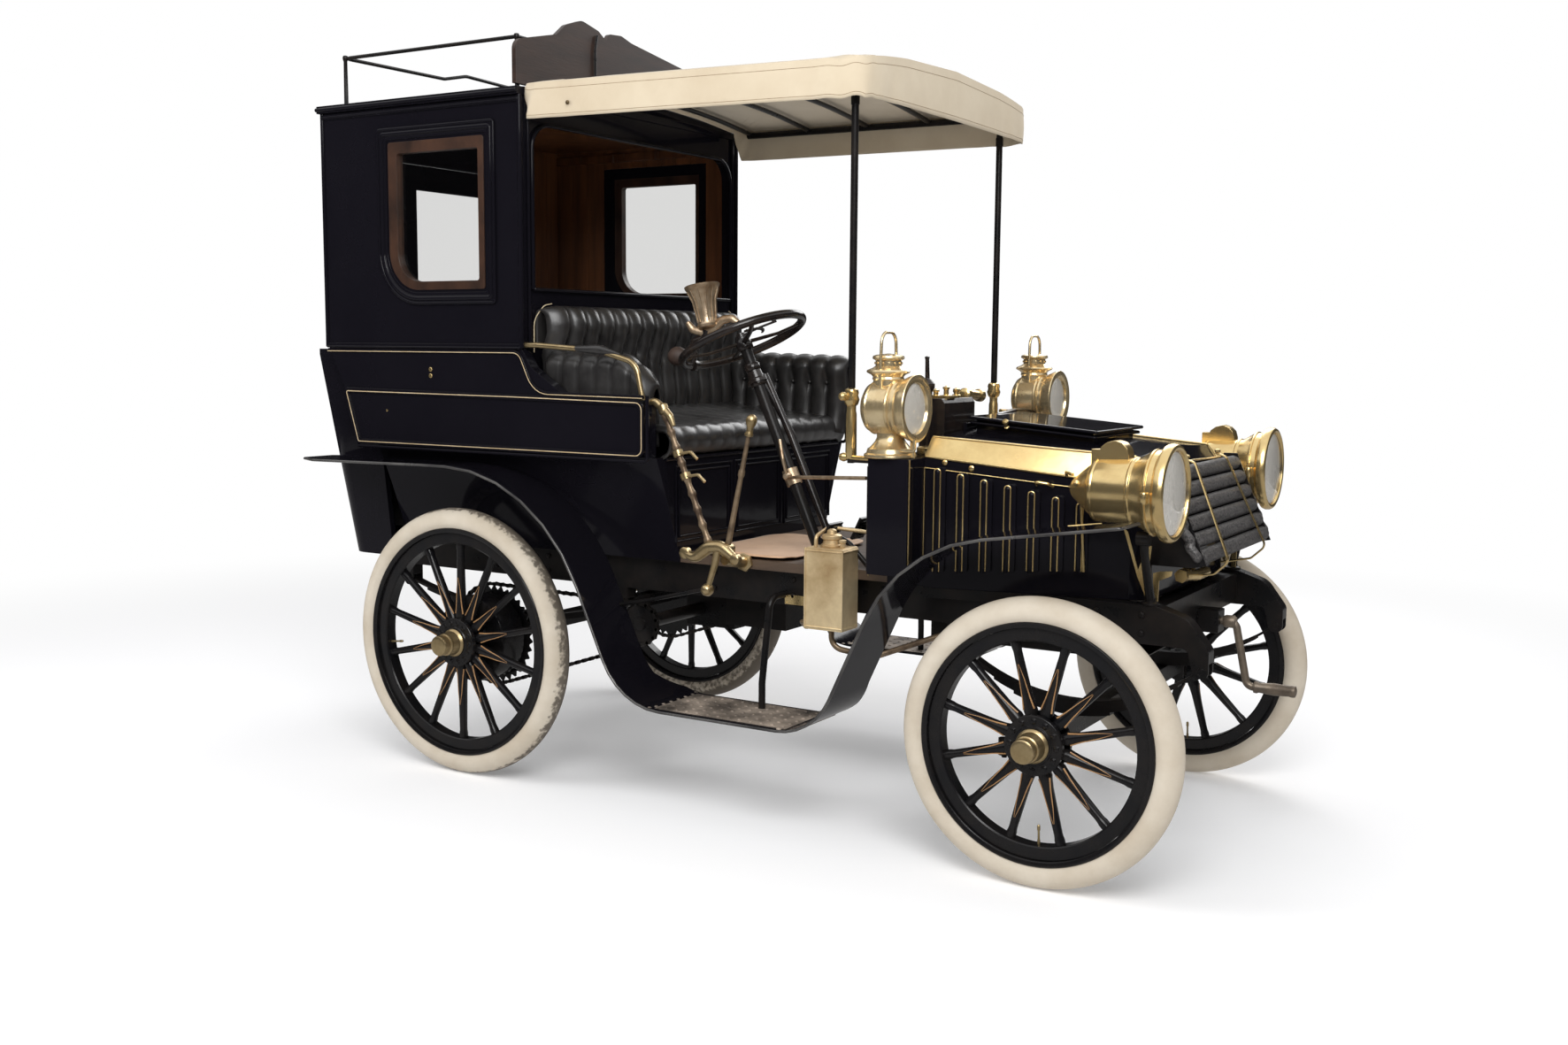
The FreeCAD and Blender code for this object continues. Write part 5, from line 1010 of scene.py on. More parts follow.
def canopy_point(turn, reach):
    """A point of the cloth: reach runs from the middle to the edge at 1 and on down the valance to 2."""
    spread = min(reach, 1)
    cx, sy = math.cos(turn), math.sin(turn)
    power = 0.085 + 0.9 * (1 - spread) ** 2
    u = math.copysign(abs(cx) ** power, cx) * spread
    w = math.copysign(abs(sy) ** power, sy) * spread
    x = (CLOTH_REAR + CLOTH_FRONT) / 2 + (CLOTH_FRONT - CLOTH_REAR) / 2 * u
    half, z = canopy_edge((u + 1) / 2)
    y = half * w
    z += CROWN * (1 - w * w)
    bow = abs(((x - 420) / 280 + 0.5) % 1 - 0.5) * 2
    z -= 5 * (1 - bow ** 2) * (1 - spread ** 6) if x > 380 else 0
    front_corner = math.exp(-((x - 1440) / 70) ** 2 - ((abs(y) - 590) / 60) ** 2)
    rear_corner = math.exp(-((x - 262) / 40) ** 2 - ((abs(y) - 640) / 50) ** 2)
    z += 4 * front_corner * math.sin(y * 0.11 + x * 0.05) - 7 * max(0, spread - 0.93) / 0.07
    if reach > 1:
        drop = reach - 1
        if u < -0.9:
            drop *= 0.02 + 0.98 * max(0, min(1, (abs(w) - 0.95) / 0.035))
        z -= 9 + drop * (104 + CROWN * (1 - w * w) * (0.9 if abs(u) > 0.97 else 0))
        out = 3 * math.sin(math.pi * min(1, drop)) + 2.2 * math.sin(x * 0.021 + y * 0.017) * drop
        out += 1.3 * math.sin(x * 0.053 + y * 0.06 + 2) * drop
        out += 5 * rear_corner * math.sin(drop * 5 + x * 0.1)
        x += out * u ** 5
        y += out * w ** 5
    return Vector((x, y, z))


def canopy_ring(reach):
    """A closed line round the cloth, its points drawn towards the corners."""
    turns = [2 * math.pi * k / AROUND for k in range(AROUND)]
    return [canopy_point(turn - 0.235 * math.sin(4 * turn), reach) for turn in turns]


reaches = [0.02] + [k / 22 for k in range(1, 22)]
reaches += [0.97, 0.985, 1.0, 1.06, 1.15, 1.3, 1.5, 1.7, 1.9, VALANCE_END]
cloth = Workpiece().rings([canopy_ring(reach) for reach in reaches], capped=False)
cloth.faces.append(tuple(reversed(range(AROUND))))
canopy = cloth.made("canopy_cloth", duck, "canvas", replaces=["canopy"], sharp=70)
thick = canopy.modifiers.new("cloth_thickness", "SOLIDIFY")
thick.thickness, thick.offset = 0.0022, -1
seams = Workpiece()
for reach in (1.12, 1.9):
    line = canopy_ring(reach)
    seams.tube([p for i, p in enumerate(line) if (p - line[i - 1]).length > 2.5], 0.9, 6, closed=True)
seam_piece = seams.made("canopy_seams", thread, "canvas", sharp=70)

# The bows are let into two side rails; in front the rails stand on two iron posts,
# which are held at their feet by arms from the dashboard.
POST_X, POST_Y = 1428, 525
bows = Workpiece()
for x in (330, 600, 860, 1120, 1380, 1470):
    half, z = canopy_edge((x - CLOTH_REAR) / (CLOTH_FRONT - CLOTH_REAR))
    half -= 60 if x > 1400 else 22
    bows.tube([(x, half * w, z + CROWN * (1 - w * w) - 23) for w in [k / 16 - 1 for k in range(33)]],
              13, 10, flat=0.6, lie=(1, 0, 0))
for side in (-1, 1):
    y = side * POST_Y
    bows.tube([(318, side * 622, 2296), (1456, side * 578, 2284)], 12, 12)
    bows.tube([(POST_X, y, 1130), (POST_X, y, 2220), (POST_X, side * (POST_Y + 5), 2300)], 11, 16)
    bows.turn([(0, 11), (0, 18), (30, 18), (30, 11)], (POST_X, y, 1305), (0, 0, 1), 20)
    bows.tube([(POST_X, y, 1140), (POST_X + 104, y, 1140)], 9, 12)
bow_piece = bows.made("canopy_bows", iron, "black_iron", replaces=["canopy_frame"], sharp=45)
studs = Workpiece().turn([(0, 7), (2, 7), (4, 5), (5, 0.5)], (448, -645, 2243), (0, -1, 0), 16)
studs.mirrored().made("canopy_studs", soot, "brass", sharp=50)
post_fittings, post_iron = Workpiece(), Workpiece()
for side in (-1, 1):
    y = side * POST_Y
    post_fittings.turn([(-160, 8), (-160, 15), (-150, 17), (-30, 16), (-20, 14), (-6, 14), (0, 20), (14, 24),
                        (26, 20), (34, 22), (44, 19), (48, 12)], (POST_X, y, 1306), (0, 0, 1), 20)
    post_fittings.turn([(0, 8), (16, 8), (20, 13), (32, 13), (38, 8), (39, 0.5)],
                       (POST_X, y + side * 8, 1330), (-0.5, side, 0), 14)
    post_fittings.tube([(POST_X - 32, y, 1147), (POST_X + 104, side * 548, 1147)], 7, 10)
    post_fittings.turn([(-12, 10), (0, 14), (12, 10)], (POST_X - 24, y, 1147), (1, 0, 0), 12)
    post_iron.turn([(0, 13), (26, 13), (30, 11)], (POST_X, y, 2180), (0, 0, 1), 16)
post_fittings.made("canopy_post_fittings", brass, "brass", sharp=35)
post_iron.made("canopy_post_heads", iron, "black_iron")

# ----------------------------------------------------------------- luggage rail
# Slender iron rails on four posts round the roof; a shaped walnut board closes
# the front of the rack.
RACK_REAR, RACK_FRONT, RACK_HALF, RAIL_Z = -640, 165, 560, 2489
rack = Workpiece()
for side in (-1, 1):
    for x in (RACK_REAR, RACK_FRONT):
        rack.turn([(-4, 22), (2, 22), (6, 12), (12, 8), (168, 6.5), (174, 9), (181, 10), (188, 8),
                   (190, 0.5)], (x, side * RACK_HALF, 2310), (0, 0, 1), 14)
rack.tube([(RACK_FRONT, -RACK_HALF, RAIL_Z), ((RACK_REAR, -RACK_HALF, RAIL_Z), 26),
           ((RACK_REAR, -60, 2492), 60), ((RACK_REAR, 60, 2520), 80), ((RACK_REAR, 330, 2512), 60),
           ((RACK_REAR, RACK_HALF, RAIL_Z), 26), (RACK_FRONT, RACK_HALF, RAIL_Z)], 6.5, 12)
rack.tube([(RACK_FRONT, -RACK_HALF, RAIL_Z), (RACK_FRONT, -330, RAIL_Z), (RACK_FRONT, 330, RAIL_Z),
           (RACK_FRONT, RACK_HALF, RAIL_Z)], 6, 12)
rack.made("roof_rack", iron, "black_iron", replaces=["luggage_rail"], sharp=45)
walnut = surface("dark_walnut", (0.017, 0.010, 0.008), 0.42, worn=(0.045, 0.022, 0.014), patches=7, share=0.7,
                 uneven=0.08, grain=60, relief=0.5, stretch=(1, 0.4, 3))
dress(walnut, "rack_board")
board_rod = Workpiece()
board_rod.tube([(206, -196, 2312), ((206, -196, 2500), 20), (206, -184, 2552)], 4, 8)
board_rod.turn([(-3, 12), (0, 12), (4, 7)], (206, -196, 2320), (0, 0, 1), 12)
board_rod.made("rack_board_rod", iron, "black_iron")

# --------------------------------------------------------- steering wheel and horn
# A black-lacquered wheel on a raked tube beside a thinner control tube; a bronze
# horn stands up from a clip behind the rim with its rubber bulb below.
lacquer = surface("black_lacquer", (0.010, 0.0085, 0.0085), 0.2, worn=(0.03, 0.02, 0.015), patches=20,
                  share=0.6, uneven=0.08, grain=60, relief=0.3)
bronze = surface("dull_bronze", (0.62, 0.49, 0.34), 0.36, worn=(0.30, 0.19, 0.11), patches=22, share=0.9,
                 uneven=0.1, metal=0.85, grain=90, relief=1.2, detail=7)
rubber_bulb = surface("perished_rubber", (0.03, 0.02, 0.017), 0.6, worn=(0.06, 0.035, 0.025), patches=18,
                      share=0.8, uneven=0.1, grain=150, relief=0.7)
RAKE, RIM_RADIUS = math.radians(24), 206
LEAN = Vector((-math.sin(RAKE), 0, math.cos(RAKE)))
TOP = Vector((925, -350, 1495))


def on_wheel(forward, aside, up=0):
    """A point of the raked wheel, from its middle: ahead along its plane, to the left, and up the column."""
    return TOP + Vector((math.cos(RAKE), 0, math.sin(RAKE))) * forward + Vector((0, aside, 0)) + LEAN * up


def on_circle(radius, turn, up=0):
    """A point round the raked wheel's middle."""
    return on_wheel(radius * math.cos(turn), radius * math.sin(turn), up)


rim = Workpiece()
rim.tube([on_circle(RIM_RADIUS, 2 * math.pi * k / 96) for k in range(96)], 14, 16, closed=True)
rim.turn([(-36, 12), (-36, 24), (-30, 27), (-10, 27), (-4, 24), (0, 22), (6, 22), (8, 19), (12, 12),
          (13, 0.5)], TOP, LEAN, 32)
for turn in [math.pi / 4 + k * math.pi / 2 for k in range(4)]:
    rim.tube([on_circle(14, turn, -10), (on_circle(120, turn, -12), 60), on_circle(RIM_RADIUS - 2, turn, -1)],
             lambda s: 11 - 3.5 * s, 12, flat=0.55, lie=LEAN.cross(on_circle(1, turn) - TOP))
rim.made("steering_wheel_rim", lacquer, "black_iron", "steering_wheel", ["steering_wheel"], sharp=50)
lever = Workpiece()
lever.tube([on_wheel(0, 0, 14), (on_wheel(60, 24, 18), 20), on_wheel(118, 44, 16)], 4, 10)
lever.turn([(0, 4), (6, 9), (16, 9), (22, 4), (23, 0.5)], on_wheel(112, 42, 16), LEAN, 14)
lever.turn([(0, 18), (6, 18), (8, 14), (14, 14), (16, 0.5)], on_wheel(0, 0, 8), LEAN, 24)
for k in range(9):
    lever.turn([(0, 3), (5, 3), (6, 0.5)], on_circle(74, math.radians(-40 + 10 * k), 8), LEAN, 6)
lever.tube([on_circle(74, math.radians(-48 + 8 * k), 8) for k in range(13)], 6, 8, flat=0.5)
lever.made("wheel_quadrant", lacquer, "black_iron", "steering_wheel", sharp=40)

# The horn's bell is crimped between twelve ribs; a wavy bracket and a black clip hold
# it to the rear of the rim, and the bulb is pushed on behind.
rear = on_wheel(-RIM_RADIUS, 0)
neck, mouth = Vector((806, -372, 1534)), Vector((778, -370, 1676))
way = (mouth - neck).normalized()
lie = way.orthogonal().normalized()
horn, rim_clip, bulb = Workpiece(), Workpiece(), Workpiece()
horn.turn([(0, 0.5), (0, 26), (4, 32), (12, 34), (18, 31), (34, 31), (60, 34), (88, 38), (108, 44), (124, 52),
           (134, 58), (140, 59), (142, 56), (136, 50), (118, 41), (80, 31), (30, 26), (10, 24), (9, 0.5)],
          neck, way, 48)
for turn in [2 * math.pi * k / 12 for k in range(12)]:
    rib = lie * math.cos(turn) + way.cross(lie) * math.sin(turn)
    horn.tube([neck + way * 20 + rib * 31, neck + way * 88 + rib * 38, neck + way * 126 + rib * 53],
              lambda s: 2.4 + 1.2 * math.sin(math.pi * s), 8)
horn.tube([(738, -392, 1552), ((756, -388, 1528), 14), ((790, -376, 1520), 20), ((824, -364, 1536), 20),
           ((852, -358, 1560), 16), ((884, -352, 1566), 14), (912, -344, 1546)],
          lambda s: 9 + 7 * math.sin(math.pi * s) ** 0.6, 14, flat=0.7)
horn.turn([(-14, 10), (-14, 15), (-6, 18), (6, 18), (14, 15), (14, 10)], rear + Vector((-4, -22, 33)),
          (1, 0, 0.1), 18)
rim_clip.tube([(800, -372, 1528), ((792, -372, 1500), 10), ((752, -372, 1488), 16),
               rear + Vector((2, -22, 36))], 15, 12)
rim_clip.tube([rear + Vector((20, -24, 46)), (rear + Vector((8, -22, 6)), 12),
               rear + Vector((0, -4, -4))], 9, 12)
rim_clip.turn([(-9, 18), (9, 18), (9, 8), (-9, 8)], rear + Vector((4, -8, 0)), (0, 1, 0), 16, closed=True)
rim_clip.made("horn_clip", lacquer, "black_iron", "steering_wheel", sharp=45)
horn.made("horn_brass", bronze, "brass", "steering_wheel", ["horn"], sharp=40)
bulb.turn([(-36, 0.5), (-35, 9), (-30, 18), (-20, 27), (-6, 32), (8, 31), (20, 25), (28, 17), (34, 13),
           (40, 12), (40, 0.5)], rear + Vector((-52, -22, 30)), (1, 0, 0.05), 28)
bulb.made("horn_bulb", rubber_bulb, "tyre_rubber", "steering_wheel", sharp=60)

# The column stays with the car: the control tube beside it, its black collars, and the
# clamp and stay rods that hold it to the dashboard.
column, collars = Workpiece(), Workpiece()
foot = on_wheel(0, 0, -(TOP.z - 800) / LEAN.z)
column.tube([foot + Vector((34, 38, 0)), (on_wheel(0, 34, -330) + Vector((30, 0, 0)), 40),
             on_wheel(0, 20, -120) + Vector((24, 0, 0))], 12, 14)
column.turn([(0, 34), (10, 34), (16, 26), (40, 24)], on_wheel(0, 0, -150), LEAN, 24)
for drop in (96, 150):
    column.turn([(-11, 18), (-11, 24), (-7, 26), (7, 26), (11, 24), (11, 18)],
                on_wheel(0, 0, -drop), LEAN, 24)
clamp = Vector((1118, -350, 1060))
collars.turn([(-26, 20), (-26, 26), (26, 26), (26, 20)], clamp, LEAN, 20)
collars.turn([(0, 11), (46, 11), (50, 8), (51, 0.5)], clamp + Vector((0, -18, 6)), (0.3, -1, 0), 14)
collars.tube([clamp + Vector((10, -40, 0)), ((1210, -470, 1072), 40), (1500, -560, 1090)], 6, 10)
collars.tube([clamp + Vector((-30, -30, 120)), (clamp + Vector((-10, -44, 60)), 20),
              clamp + Vector((0, -30, 0))], 6, 10)
column.made("control_tube", lacquer, "black_iron")
collars.made("column_clamps", bronze, "brass", sharp=40)

# ------------------------------------------------------------------ hand levers
# A knuckled brake lever with a curved grip and a straight gear lever, of bound steel
# and brass, on one cast bracket; below it a drop arm draws the brake's long rod.
bound = surface("bound_brass", (0.34, 0.25, 0.16), 0.42, worn=(0.06, 0.035, 0.025), patches=14, share=1.0,
                uneven=0.1, metal=0.7, grain=140, relief=0.6)
LEVER_Y = -600
brake_foot, brake_tip = Vector((971, LEVER_Y, 846)), Vector((790, LEVER_Y, 1276))
gear_foot, gear_tip = Vector((1034, LEVER_Y, 846)), Vector((1118, LEVER_Y, 1236))


def straight(a, b, steps=60):
    """A line in many short steps, so that a bar's radius can change along it."""
    return [a.lerp(b, k / steps) for k in range(steps + 1)]


levers, cast = Workpiece(), Workpiece()
levers.tube(straight(brake_foot, brake_tip), lambda s: 9.5 + 4.5 * abs(math.sin(math.pi * 9 * s)) ** 6, 14)
levers.tube(straight(gear_foot, gear_tip), lambda s: 10 - 3.5 * s + (3 if 0.6 < s < 0.64 else 0), 12)
levers.made("lever_bars", bound, "brass", replaces=["hand_levers"], sharp=50)
cast.turn([(-34, 8), (-32, 13), (-26, 14), (-20, 11), (-6, 10), (4, 15), (16, 18), (28, 15), (35, 6),
           (36, 0.5)], gear_tip - Vector((0, 0, 2)), (89, 0, 426), 24)
way = Vector((-181, 0, 436)).normalized()
cast.tube([brake_tip + Vector((-62, -6, 16)), (brake_tip + Vector((-30, -6, 26)), 20), brake_tip,
           (brake_tip + Vector((30, -6, -22)), 20), brake_tip + Vector((44, -6, -52))],
          lambda s: 7 + 7 * math.sin(math.pi * s), 14)
cast.turn([(-16, 12), (-12, 17), (12, 17), (18, 11)], brake_tip, way, 18)
for spot in (brake_tip - way * 150, brake_tip - way * 226):
    cast.turn([(-10, 12), (-10, 17), (10, 17), (10, 12)], spot, way, 18)
    cast.tube([spot + Vector((10, -8, 0)), (spot + Vector((52, -8, 8)), 12),
               spot + Vector((78, -8, -14))], 5, 10)
for pivot in (brake_foot, gear_foot):
    cast.turn([(-26, 0.5), (-25, 13), (-22, 18), (-14, 20), (14, 20), (20, 18), (26, 12), (27, 0.5)], pivot,
              (0, 1, 0), 26)
cast.tube([(886, LEVER_Y - 18, 826), ((924, LEVER_Y - 18, 812), 30), ((974, LEVER_Y - 14, 850), 40),
           ((1020, LEVER_Y - 14, 856), 40), (1076, LEVER_Y - 16, 820)],
          lambda s: 12 + 9 * math.sin(math.pi * s), 16)
cast.turn([(-12, 14), (-8, 19), (8, 19), (12, 14)], (888, LEVER_Y - 18, 826), (0, 1, 0), 22)
cast.turn([(-14, 12), (-10, 17), (10, 17), (14, 12)], (1076, LEVER_Y - 16, 820), (0, 1, 0), 22)
cast.tube([(1010, LEVER_Y - 16, 850), ((1000, LEVER_Y - 18, 800), 40), (974, LEVER_Y - 18, 724)],
          lambda s: 13 - 4 * s, 14)
cast.turn([(-22, 0.5), (-20, 11), (-13, 17), (0, 21), (13, 17), (20, 11), (22, 0.5)],
          (972, LEVER_Y - 18, 716), (0, 1, 0), 24)
cast.tube([(1020, LEVER_Y + 10, 812), ((1020, LEVER_Y + 60, 800), 20), (1020, -472, 790)], 18, 16)
cast.turn([(0, 30), (10, 30), (14, 22), (15, 18)], (1020, -474, 790), (0, -1, 0), 6)
cast.made("lever_castings", dull_brass, "brass", sharp=40)
pull = Workpiece().tube([(958, LEVER_Y - 18, 716), ((700, LEVER_Y + 12, 650), 200), ((260, -560, 560), 300),
                         (190, -545, 556)], 6.5, 10)
pull.made("brake_pull_rod", iron, "black_iron")

# ---------------------------------------------------------- floor, mat and pedals
# Worn pine boards with a tan hide mat laid on them, its edges slightly rippled, and
# three black iron pedals with ribbed feet.
hide = surface("hide_mat", (0.66, 0.43, 0.27), 0.6, worn=(0.50, 0.30, 0.17), patches=9, share=0.8,
               uneven=0.08, grain=90, relief=0.8, sheen=0.15)
MAT_REAR, MAT_LENGTH, MAT_LEFT, MAT_WIDTH, BOARDS_TOP = 802, 370, 90, 556, 808
MAT_X, MAT_Y = MAT_REAR + MAT_LENGTH / 2, MAT_LEFT - MAT_WIDTH / 2
mat = []
for w in [r / 20 for r in range(21)]:
    for u in [c / 28 for c in range(29)]:
        corner = 1 - 0.09 * (abs(2 * u - 1) ** 6) * (abs(2 * w - 1) ** 6)
        wave = max(0, 3.5 * math.sin(u * 9 + w * 4) * math.sin(w * 7 + 1))
        mat.append((MAT_X + MAT_LENGTH * (u - 0.5) * corner, MAT_Y - MAT_WIDTH * (w - 0.5) * corner,
                    BOARDS_TOP + wave + (2 if w > 0.9 else 0)))
hide_mat = Workpiece().add(mat, woven(21, 29)).made("hide_mat", hide, "black_leather", sharp=80)
thick = hide_mat.modifiers.new("hide_thickness", "SOLIDIFY")
thick.thickness, thick.offset = 0.004, 1
pedals = Workpiece()
for y in (-470, -270, -150):
    pedals.tube([(1470, y, 806), ((1395, y, 880), 90), (1330, y, 905)], 9, 12)
    pedals.slab([(1352, y - 42, 936), (1352, y + 42, 936), (1316, y + 38, 866), (1316, y - 38, 866)],
                (-8, 0, 4))
    for k in range(4):
        pedals.block((1328 + 7 * k, y - 32, 880 + 14 * k), (1334 + 7 * k, y + 32, 885 + 14 * k))
pedals.made("pedals", iron, "black_iron", bevel=1.0)
boards_wood = surface("floor_boards", (0.10, 0.065, 0.042), 0.55, worn=(0.045, 0.03, 0.022), patches=6,
                      share=0.8, uneven=0.08, grain=50, relief=0.6, stretch=(0.5, 5, 5), detail=7)
dress(boards_wood, "floor")

# ------------------------------------------------------------- plate on the frame
# A small brass plate, left blank, stands on the right frame rail under the floor and
# is riveted at its four corners.
plate = Workpiece().block((1152, -447, 664), (1228, -FRAME_HALF, 694))
for x in (1158, 1222):
    for z in (669, 689):
        plate.turn([(0, 3), (2, 2.6), (3, 0.5)], (x, -447, z), (0, -1, 0), 10)
plate.made("maker_blank_plate", brass, "brass", bevel=1.0)

# ------------------------------------------------------------- brass side tank
# A soldered brass water tank with beaded edges, a stepped filler and a hexagon plug,
# hung outside the frame; thin pipes run from it to the dashboard and under the floor.
tarnish = surface("smeared_brass", (0.92, 0.74, 0.45), 0.4, worn=(0.46, 0.31, 0.15), patches=5, share=1.0,
                  uneven=0.16, metal=0.6, grain=16, relief=2.2, detail=9)
TANK_REAR, TANK_FRONT, TANK_OUT, TANK_IN, TANK_LOW, TANK_TOP = 1300, 1430, -573, -473, 620, 872
tank = Workpiece()
tank.slab([(TANK_REAR, TANK_OUT, TANK_LOW), (TANK_FRONT, TANK_OUT, TANK_LOW),
           (TANK_FRONT, TANK_OUT, TANK_TOP - 6), (TANK_FRONT - 6, TANK_OUT, TANK_TOP),
           (TANK_REAR + 6, TANK_OUT, TANK_TOP), (TANK_REAR, TANK_OUT, TANK_TOP - 6)],
          (0, TANK_IN - TANK_OUT, 0))
for z in (TANK_LOW + 8, TANK_TOP - 10):
    tank.tube([((TANK_REAR, TANK_OUT, z), 6), ((TANK_FRONT, TANK_OUT, z), 6), ((TANK_FRONT, TANK_IN, z), 6),
               ((TANK_REAR, TANK_IN, z), 6)], 3.2, 8, closed=True)
for x in (TANK_REAR, TANK_FRONT):
    tank.tube([(x, TANK_OUT, TANK_LOW + 2), (x, TANK_OUT, TANK_TOP - 2)], 3.4, 8)
tank.turn([(0, 34), (6, 34), (10, 28), (22, 26), (24, 31), (34, 31), (38, 26), (40, 16), (50, 14), (54, 8),
           (55, 0.5)], (1365, -523, TANK_TOP), (0, 0, 1), 28)
tank.turn([(0, 9), (14, 9), (16, 12), (24, 12), (26, 0.5)], (1410, -536, TANK_TOP), (0, 0, 1), 6)
tank.tube([(1330, -560, TANK_TOP), ((1330, -560, 905), 18), ((1330, -480, 925), 24), (1470, -400, 905)],
          6, 10)
tank.made("water_tank", tarnish, "brass", replaces=["side_tank"], sharp=40, bevel=1.5)
pipes = Workpiece()
pipes.tube([(1365, -520, TANK_LOW), ((1365, -520, 560), 40), ((1500, -500, 540), 60), (1700, -420, 620)],
           9, 12)
pipes.tube([(1314, -540, 640), ((1262, -530, 632), 16), ((1250, -480, 604), 24), (1250, -430, 600)], 6, 10)
pipes.made("tank_pipes", bound, "brass")

# ------------------------------------------------------------ dashboard fittings
# A black coil box with four drip-feed oilers on its lid, a brass pump barrel, a tall
# pump plunger, the lamps' pipes, and brass edging down the dashboard's sides.
DASH_TOP, LID = 1155, 1322
fittings, dash_iron = Workpiece(), Workpiece()
for x, y, tall in ((1582, -268, 18), (1600, -232, 26), (1618, -196, 20), (1596, -150, 14)):
    fittings.turn([(0, 10), (3, 13), (8, 13), (10, 8), (tall, 8), (tall + 2, 11), (tall + 7, 11),
                   (tall + 9, 5), (tall + 12, 0.5)], (x, y, LID), (0, 0, 1), 18)
fittings.block((1560, -292, LID), (1638, -236, LID + 8))
fittings.turn([(0, 14), (4, 20), (26, 21), (30, 17), (104, 15), (110, 20), (128, 21), (132, 13), (148, 12),
               (149, 0.5)], (1600, -104, LID + 8), (0, 1, -0.05), 26)
fittings.turn([(0, 24), (4, 26), (20, 26), (24, 20), (26, 0.5)], (1600, -372, DASH_TOP), (0, 0, 1), 26)
fittings.tube([(1600, 190, 1268), ((1600, 300, 1262), 40), ((1560, 420, 1200), 60), (1560, 500, 1165)], 7, 12)
for y in (-600, 600):
    for x, radius in ((1662, 3), (1533, 2)):
        fittings.tube([(x, y, DASH_TOP - 2), (x, y, 806)], radius, 8)
fittings.made("dash_brass", brass, "brass", sharp=38, bevel=0.6)
dash_iron.slab([(1556, -330, DASH_TOP), (1642, -330, DASH_TOP), (1642, -330, LID - 14), (1632, -330, LID),
                (1566, -330, LID), (1556, -330, LID - 14)], (0, 220, 0))
dash_iron.turn([(0, 9), (160, 9), (166, 14), (186, 15), (196, 22), (208, 23), (220, 14), (226, 7), (282, 6),
                (290, 8), (293, 0.5)], (1600, -352, DASH_TOP + 3), (-0.03, 0, 1), 18)
dash_iron.tube([(1640, -60, 1180), ((1680, -20, 1262), 40), ((1650, 190, 1270), 60), ((1600, 400, 1262), 60),
                (1588, 530, 1250)], 9, 12)
dash_iron.block((1560, 505, 1240), (1626, 560, 1300))
for y in (-560, 560):
    dash_iron.block((1528, y - 48, 820), (1536, y + 48, 1130))
dash_iron.made("dash_iron", lacquer, "black_iron", bevel=1.2)

# --------------------------------------------------------------- chains and crank
# Roller chains of waisted side plates run from the countershaft to the rear
# sprockets.  The starting handle is a bent iron arm with a turned grip, in a bearing
# block on the front cross member.
chain_steel = surface("oiled_chain", (0.055, 0.05, 0.047), 0.42, worn=(0.02, 0.017, 0.015), patches=40,
                      share=0.8, uneven=0.1, metal=0.85, grain=150, relief=0.4)
big, small, BIG_RADIUS, SMALL_RADIUS = Vector((0, 0, 460)), Vector((640, 0, 560)), 177, 68
way = small - big
lean, tilt = math.asin((BIG_RADIUS - SMALL_RADIUS) / way.length), math.atan2(way.z, way.x)
loop = []
for centre, radius, middle, half in ((big, BIG_RADIUS, tilt + math.pi, math.pi / 2 + lean),
                                     (small, SMALL_RADIUS, tilt, math.pi / 2 - lean)):
    loop += [centre + ray(middle - half + half * k / 18) * radius for k in range(37)]
loop.append(loop[0])
lengths = [0.0]
for a, b in zip(loop, loop[1:]):
    lengths.append(lengths[-1] + (b - a).length)
PITCH_OF_CHAIN = 32
LINKS = 2 * round(lengths[-1] / PITCH_OF_CHAIN / 2)


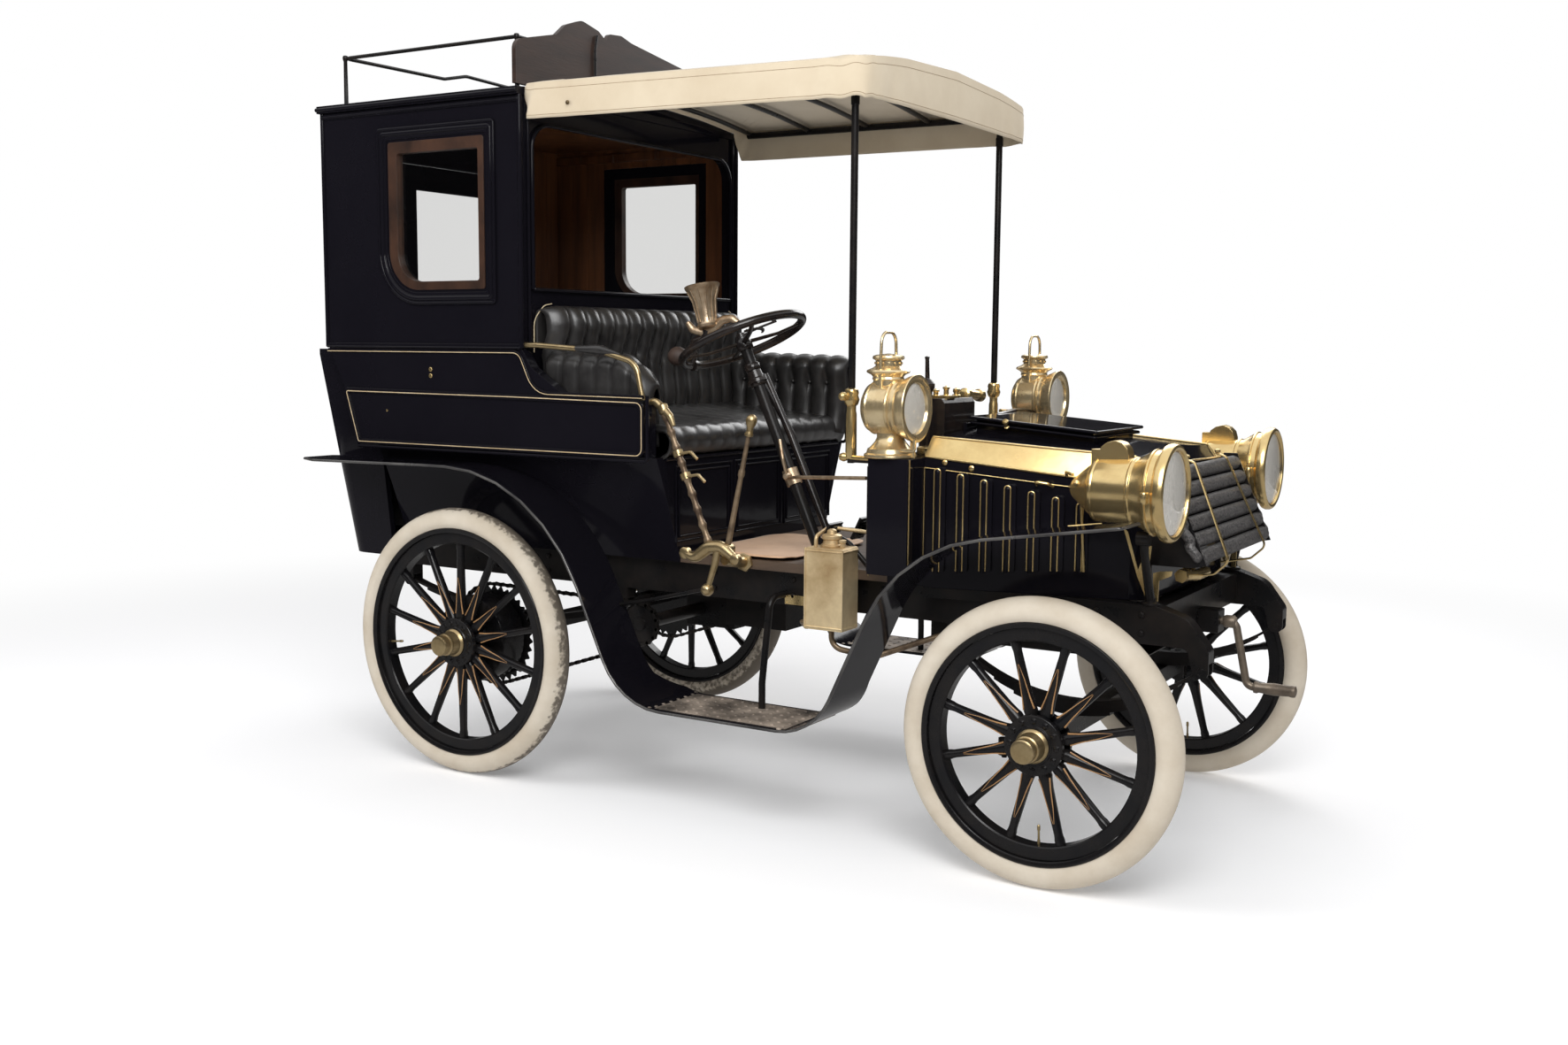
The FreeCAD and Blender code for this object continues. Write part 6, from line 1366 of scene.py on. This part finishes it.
def on_chain(count):
    """The point of the loop at a count of links."""
    far = (count % LINKS) * lengths[-1] / LINKS
    i = max(k for k in range(len(loop) - 1) if lengths[k] <= far)
    return loop[i].lerp(loop[i + 1], (far - lengths[i]) / (lengths[i + 1] - lengths[i]))


chains = Workpiece()
for k in range(LINKS):
    a, b = on_chain(k), on_chain(k + 1)
    chains.turn([(-8, 5.5), (8, 5.5), (8, 0.5)], a - Vector((0, CHAIN_LINE, 0)), (0, 1, 0), 10)
    along = (b - a).normalized()
    up, waist = Vector((-along.z, 0, along.x)), a.lerp(b, 0.5)
    turns = (-1.2, -0.6, 0, 0.6, 1.2)
    shape = [a + along * (-7 * math.cos(t)) + up * (7.5 * math.sin(t)) for t in turns] + [waist + up * 4.5]
    shape += [b + along * (7 * math.cos(t)) + up * (7.5 * math.sin(t)) for t in reversed(turns)]
    shape.append(waist - up * 4.5)
    for out in ((8, -6) if k % 2 else (5.5, -3.5)):
        chains.slab([p - Vector((0, CHAIN_LINE + out, 0)) for p in shape], (0, 2.2, 0))
chains.mirrored().made("roller_chains", chain_steel, "chain_steel", replaces=["drive_chains"], sharp=40)
CRANK_Z, GRIP_Z = 670, 480
crank = Workpiece()
crank.tube([(2350, 0, CRANK_Z), ((2455, 0, CRANK_Z), 24), ((2495, 0, GRIP_Z), 24), (2530, 0, GRIP_Z)],
           11.5, 18)
crank.turn([(0, 16), (6, 19), (30, 19), (36, 15)], (2420, 0, CRANK_Z), (1, 0, 0), 22)
handled = surface("handled_iron", (0.24, 0.19, 0.14), 0.42, worn=(0.10, 0.08, 0.065), patches=16, share=0.8,
                  uneven=0.1, metal=0.6, grain=110, relief=0.4)
crank.made("crank_arm", handled, "black_iron", replaces=["starting_crank"], sharp=45)
grip = Workpiece().turn([(0, 12), (2, 17), (10, 18), (16, 15), (60, 18.5), (104, 16), (112, 18), (121, 17),
                         (124, 10), (125, 0.5)], (2515, 0, GRIP_Z), (1, 0, 0), 26)
grip.made("crank_grip", handled, "black_iron", sharp=45)
socket = Workpiece().block((2326, -34, CRANK_Z - 34), (2412, 34, CRANK_Z + 34))
socket.made("crank_bearing", iron, "black_iron", bevel=3)
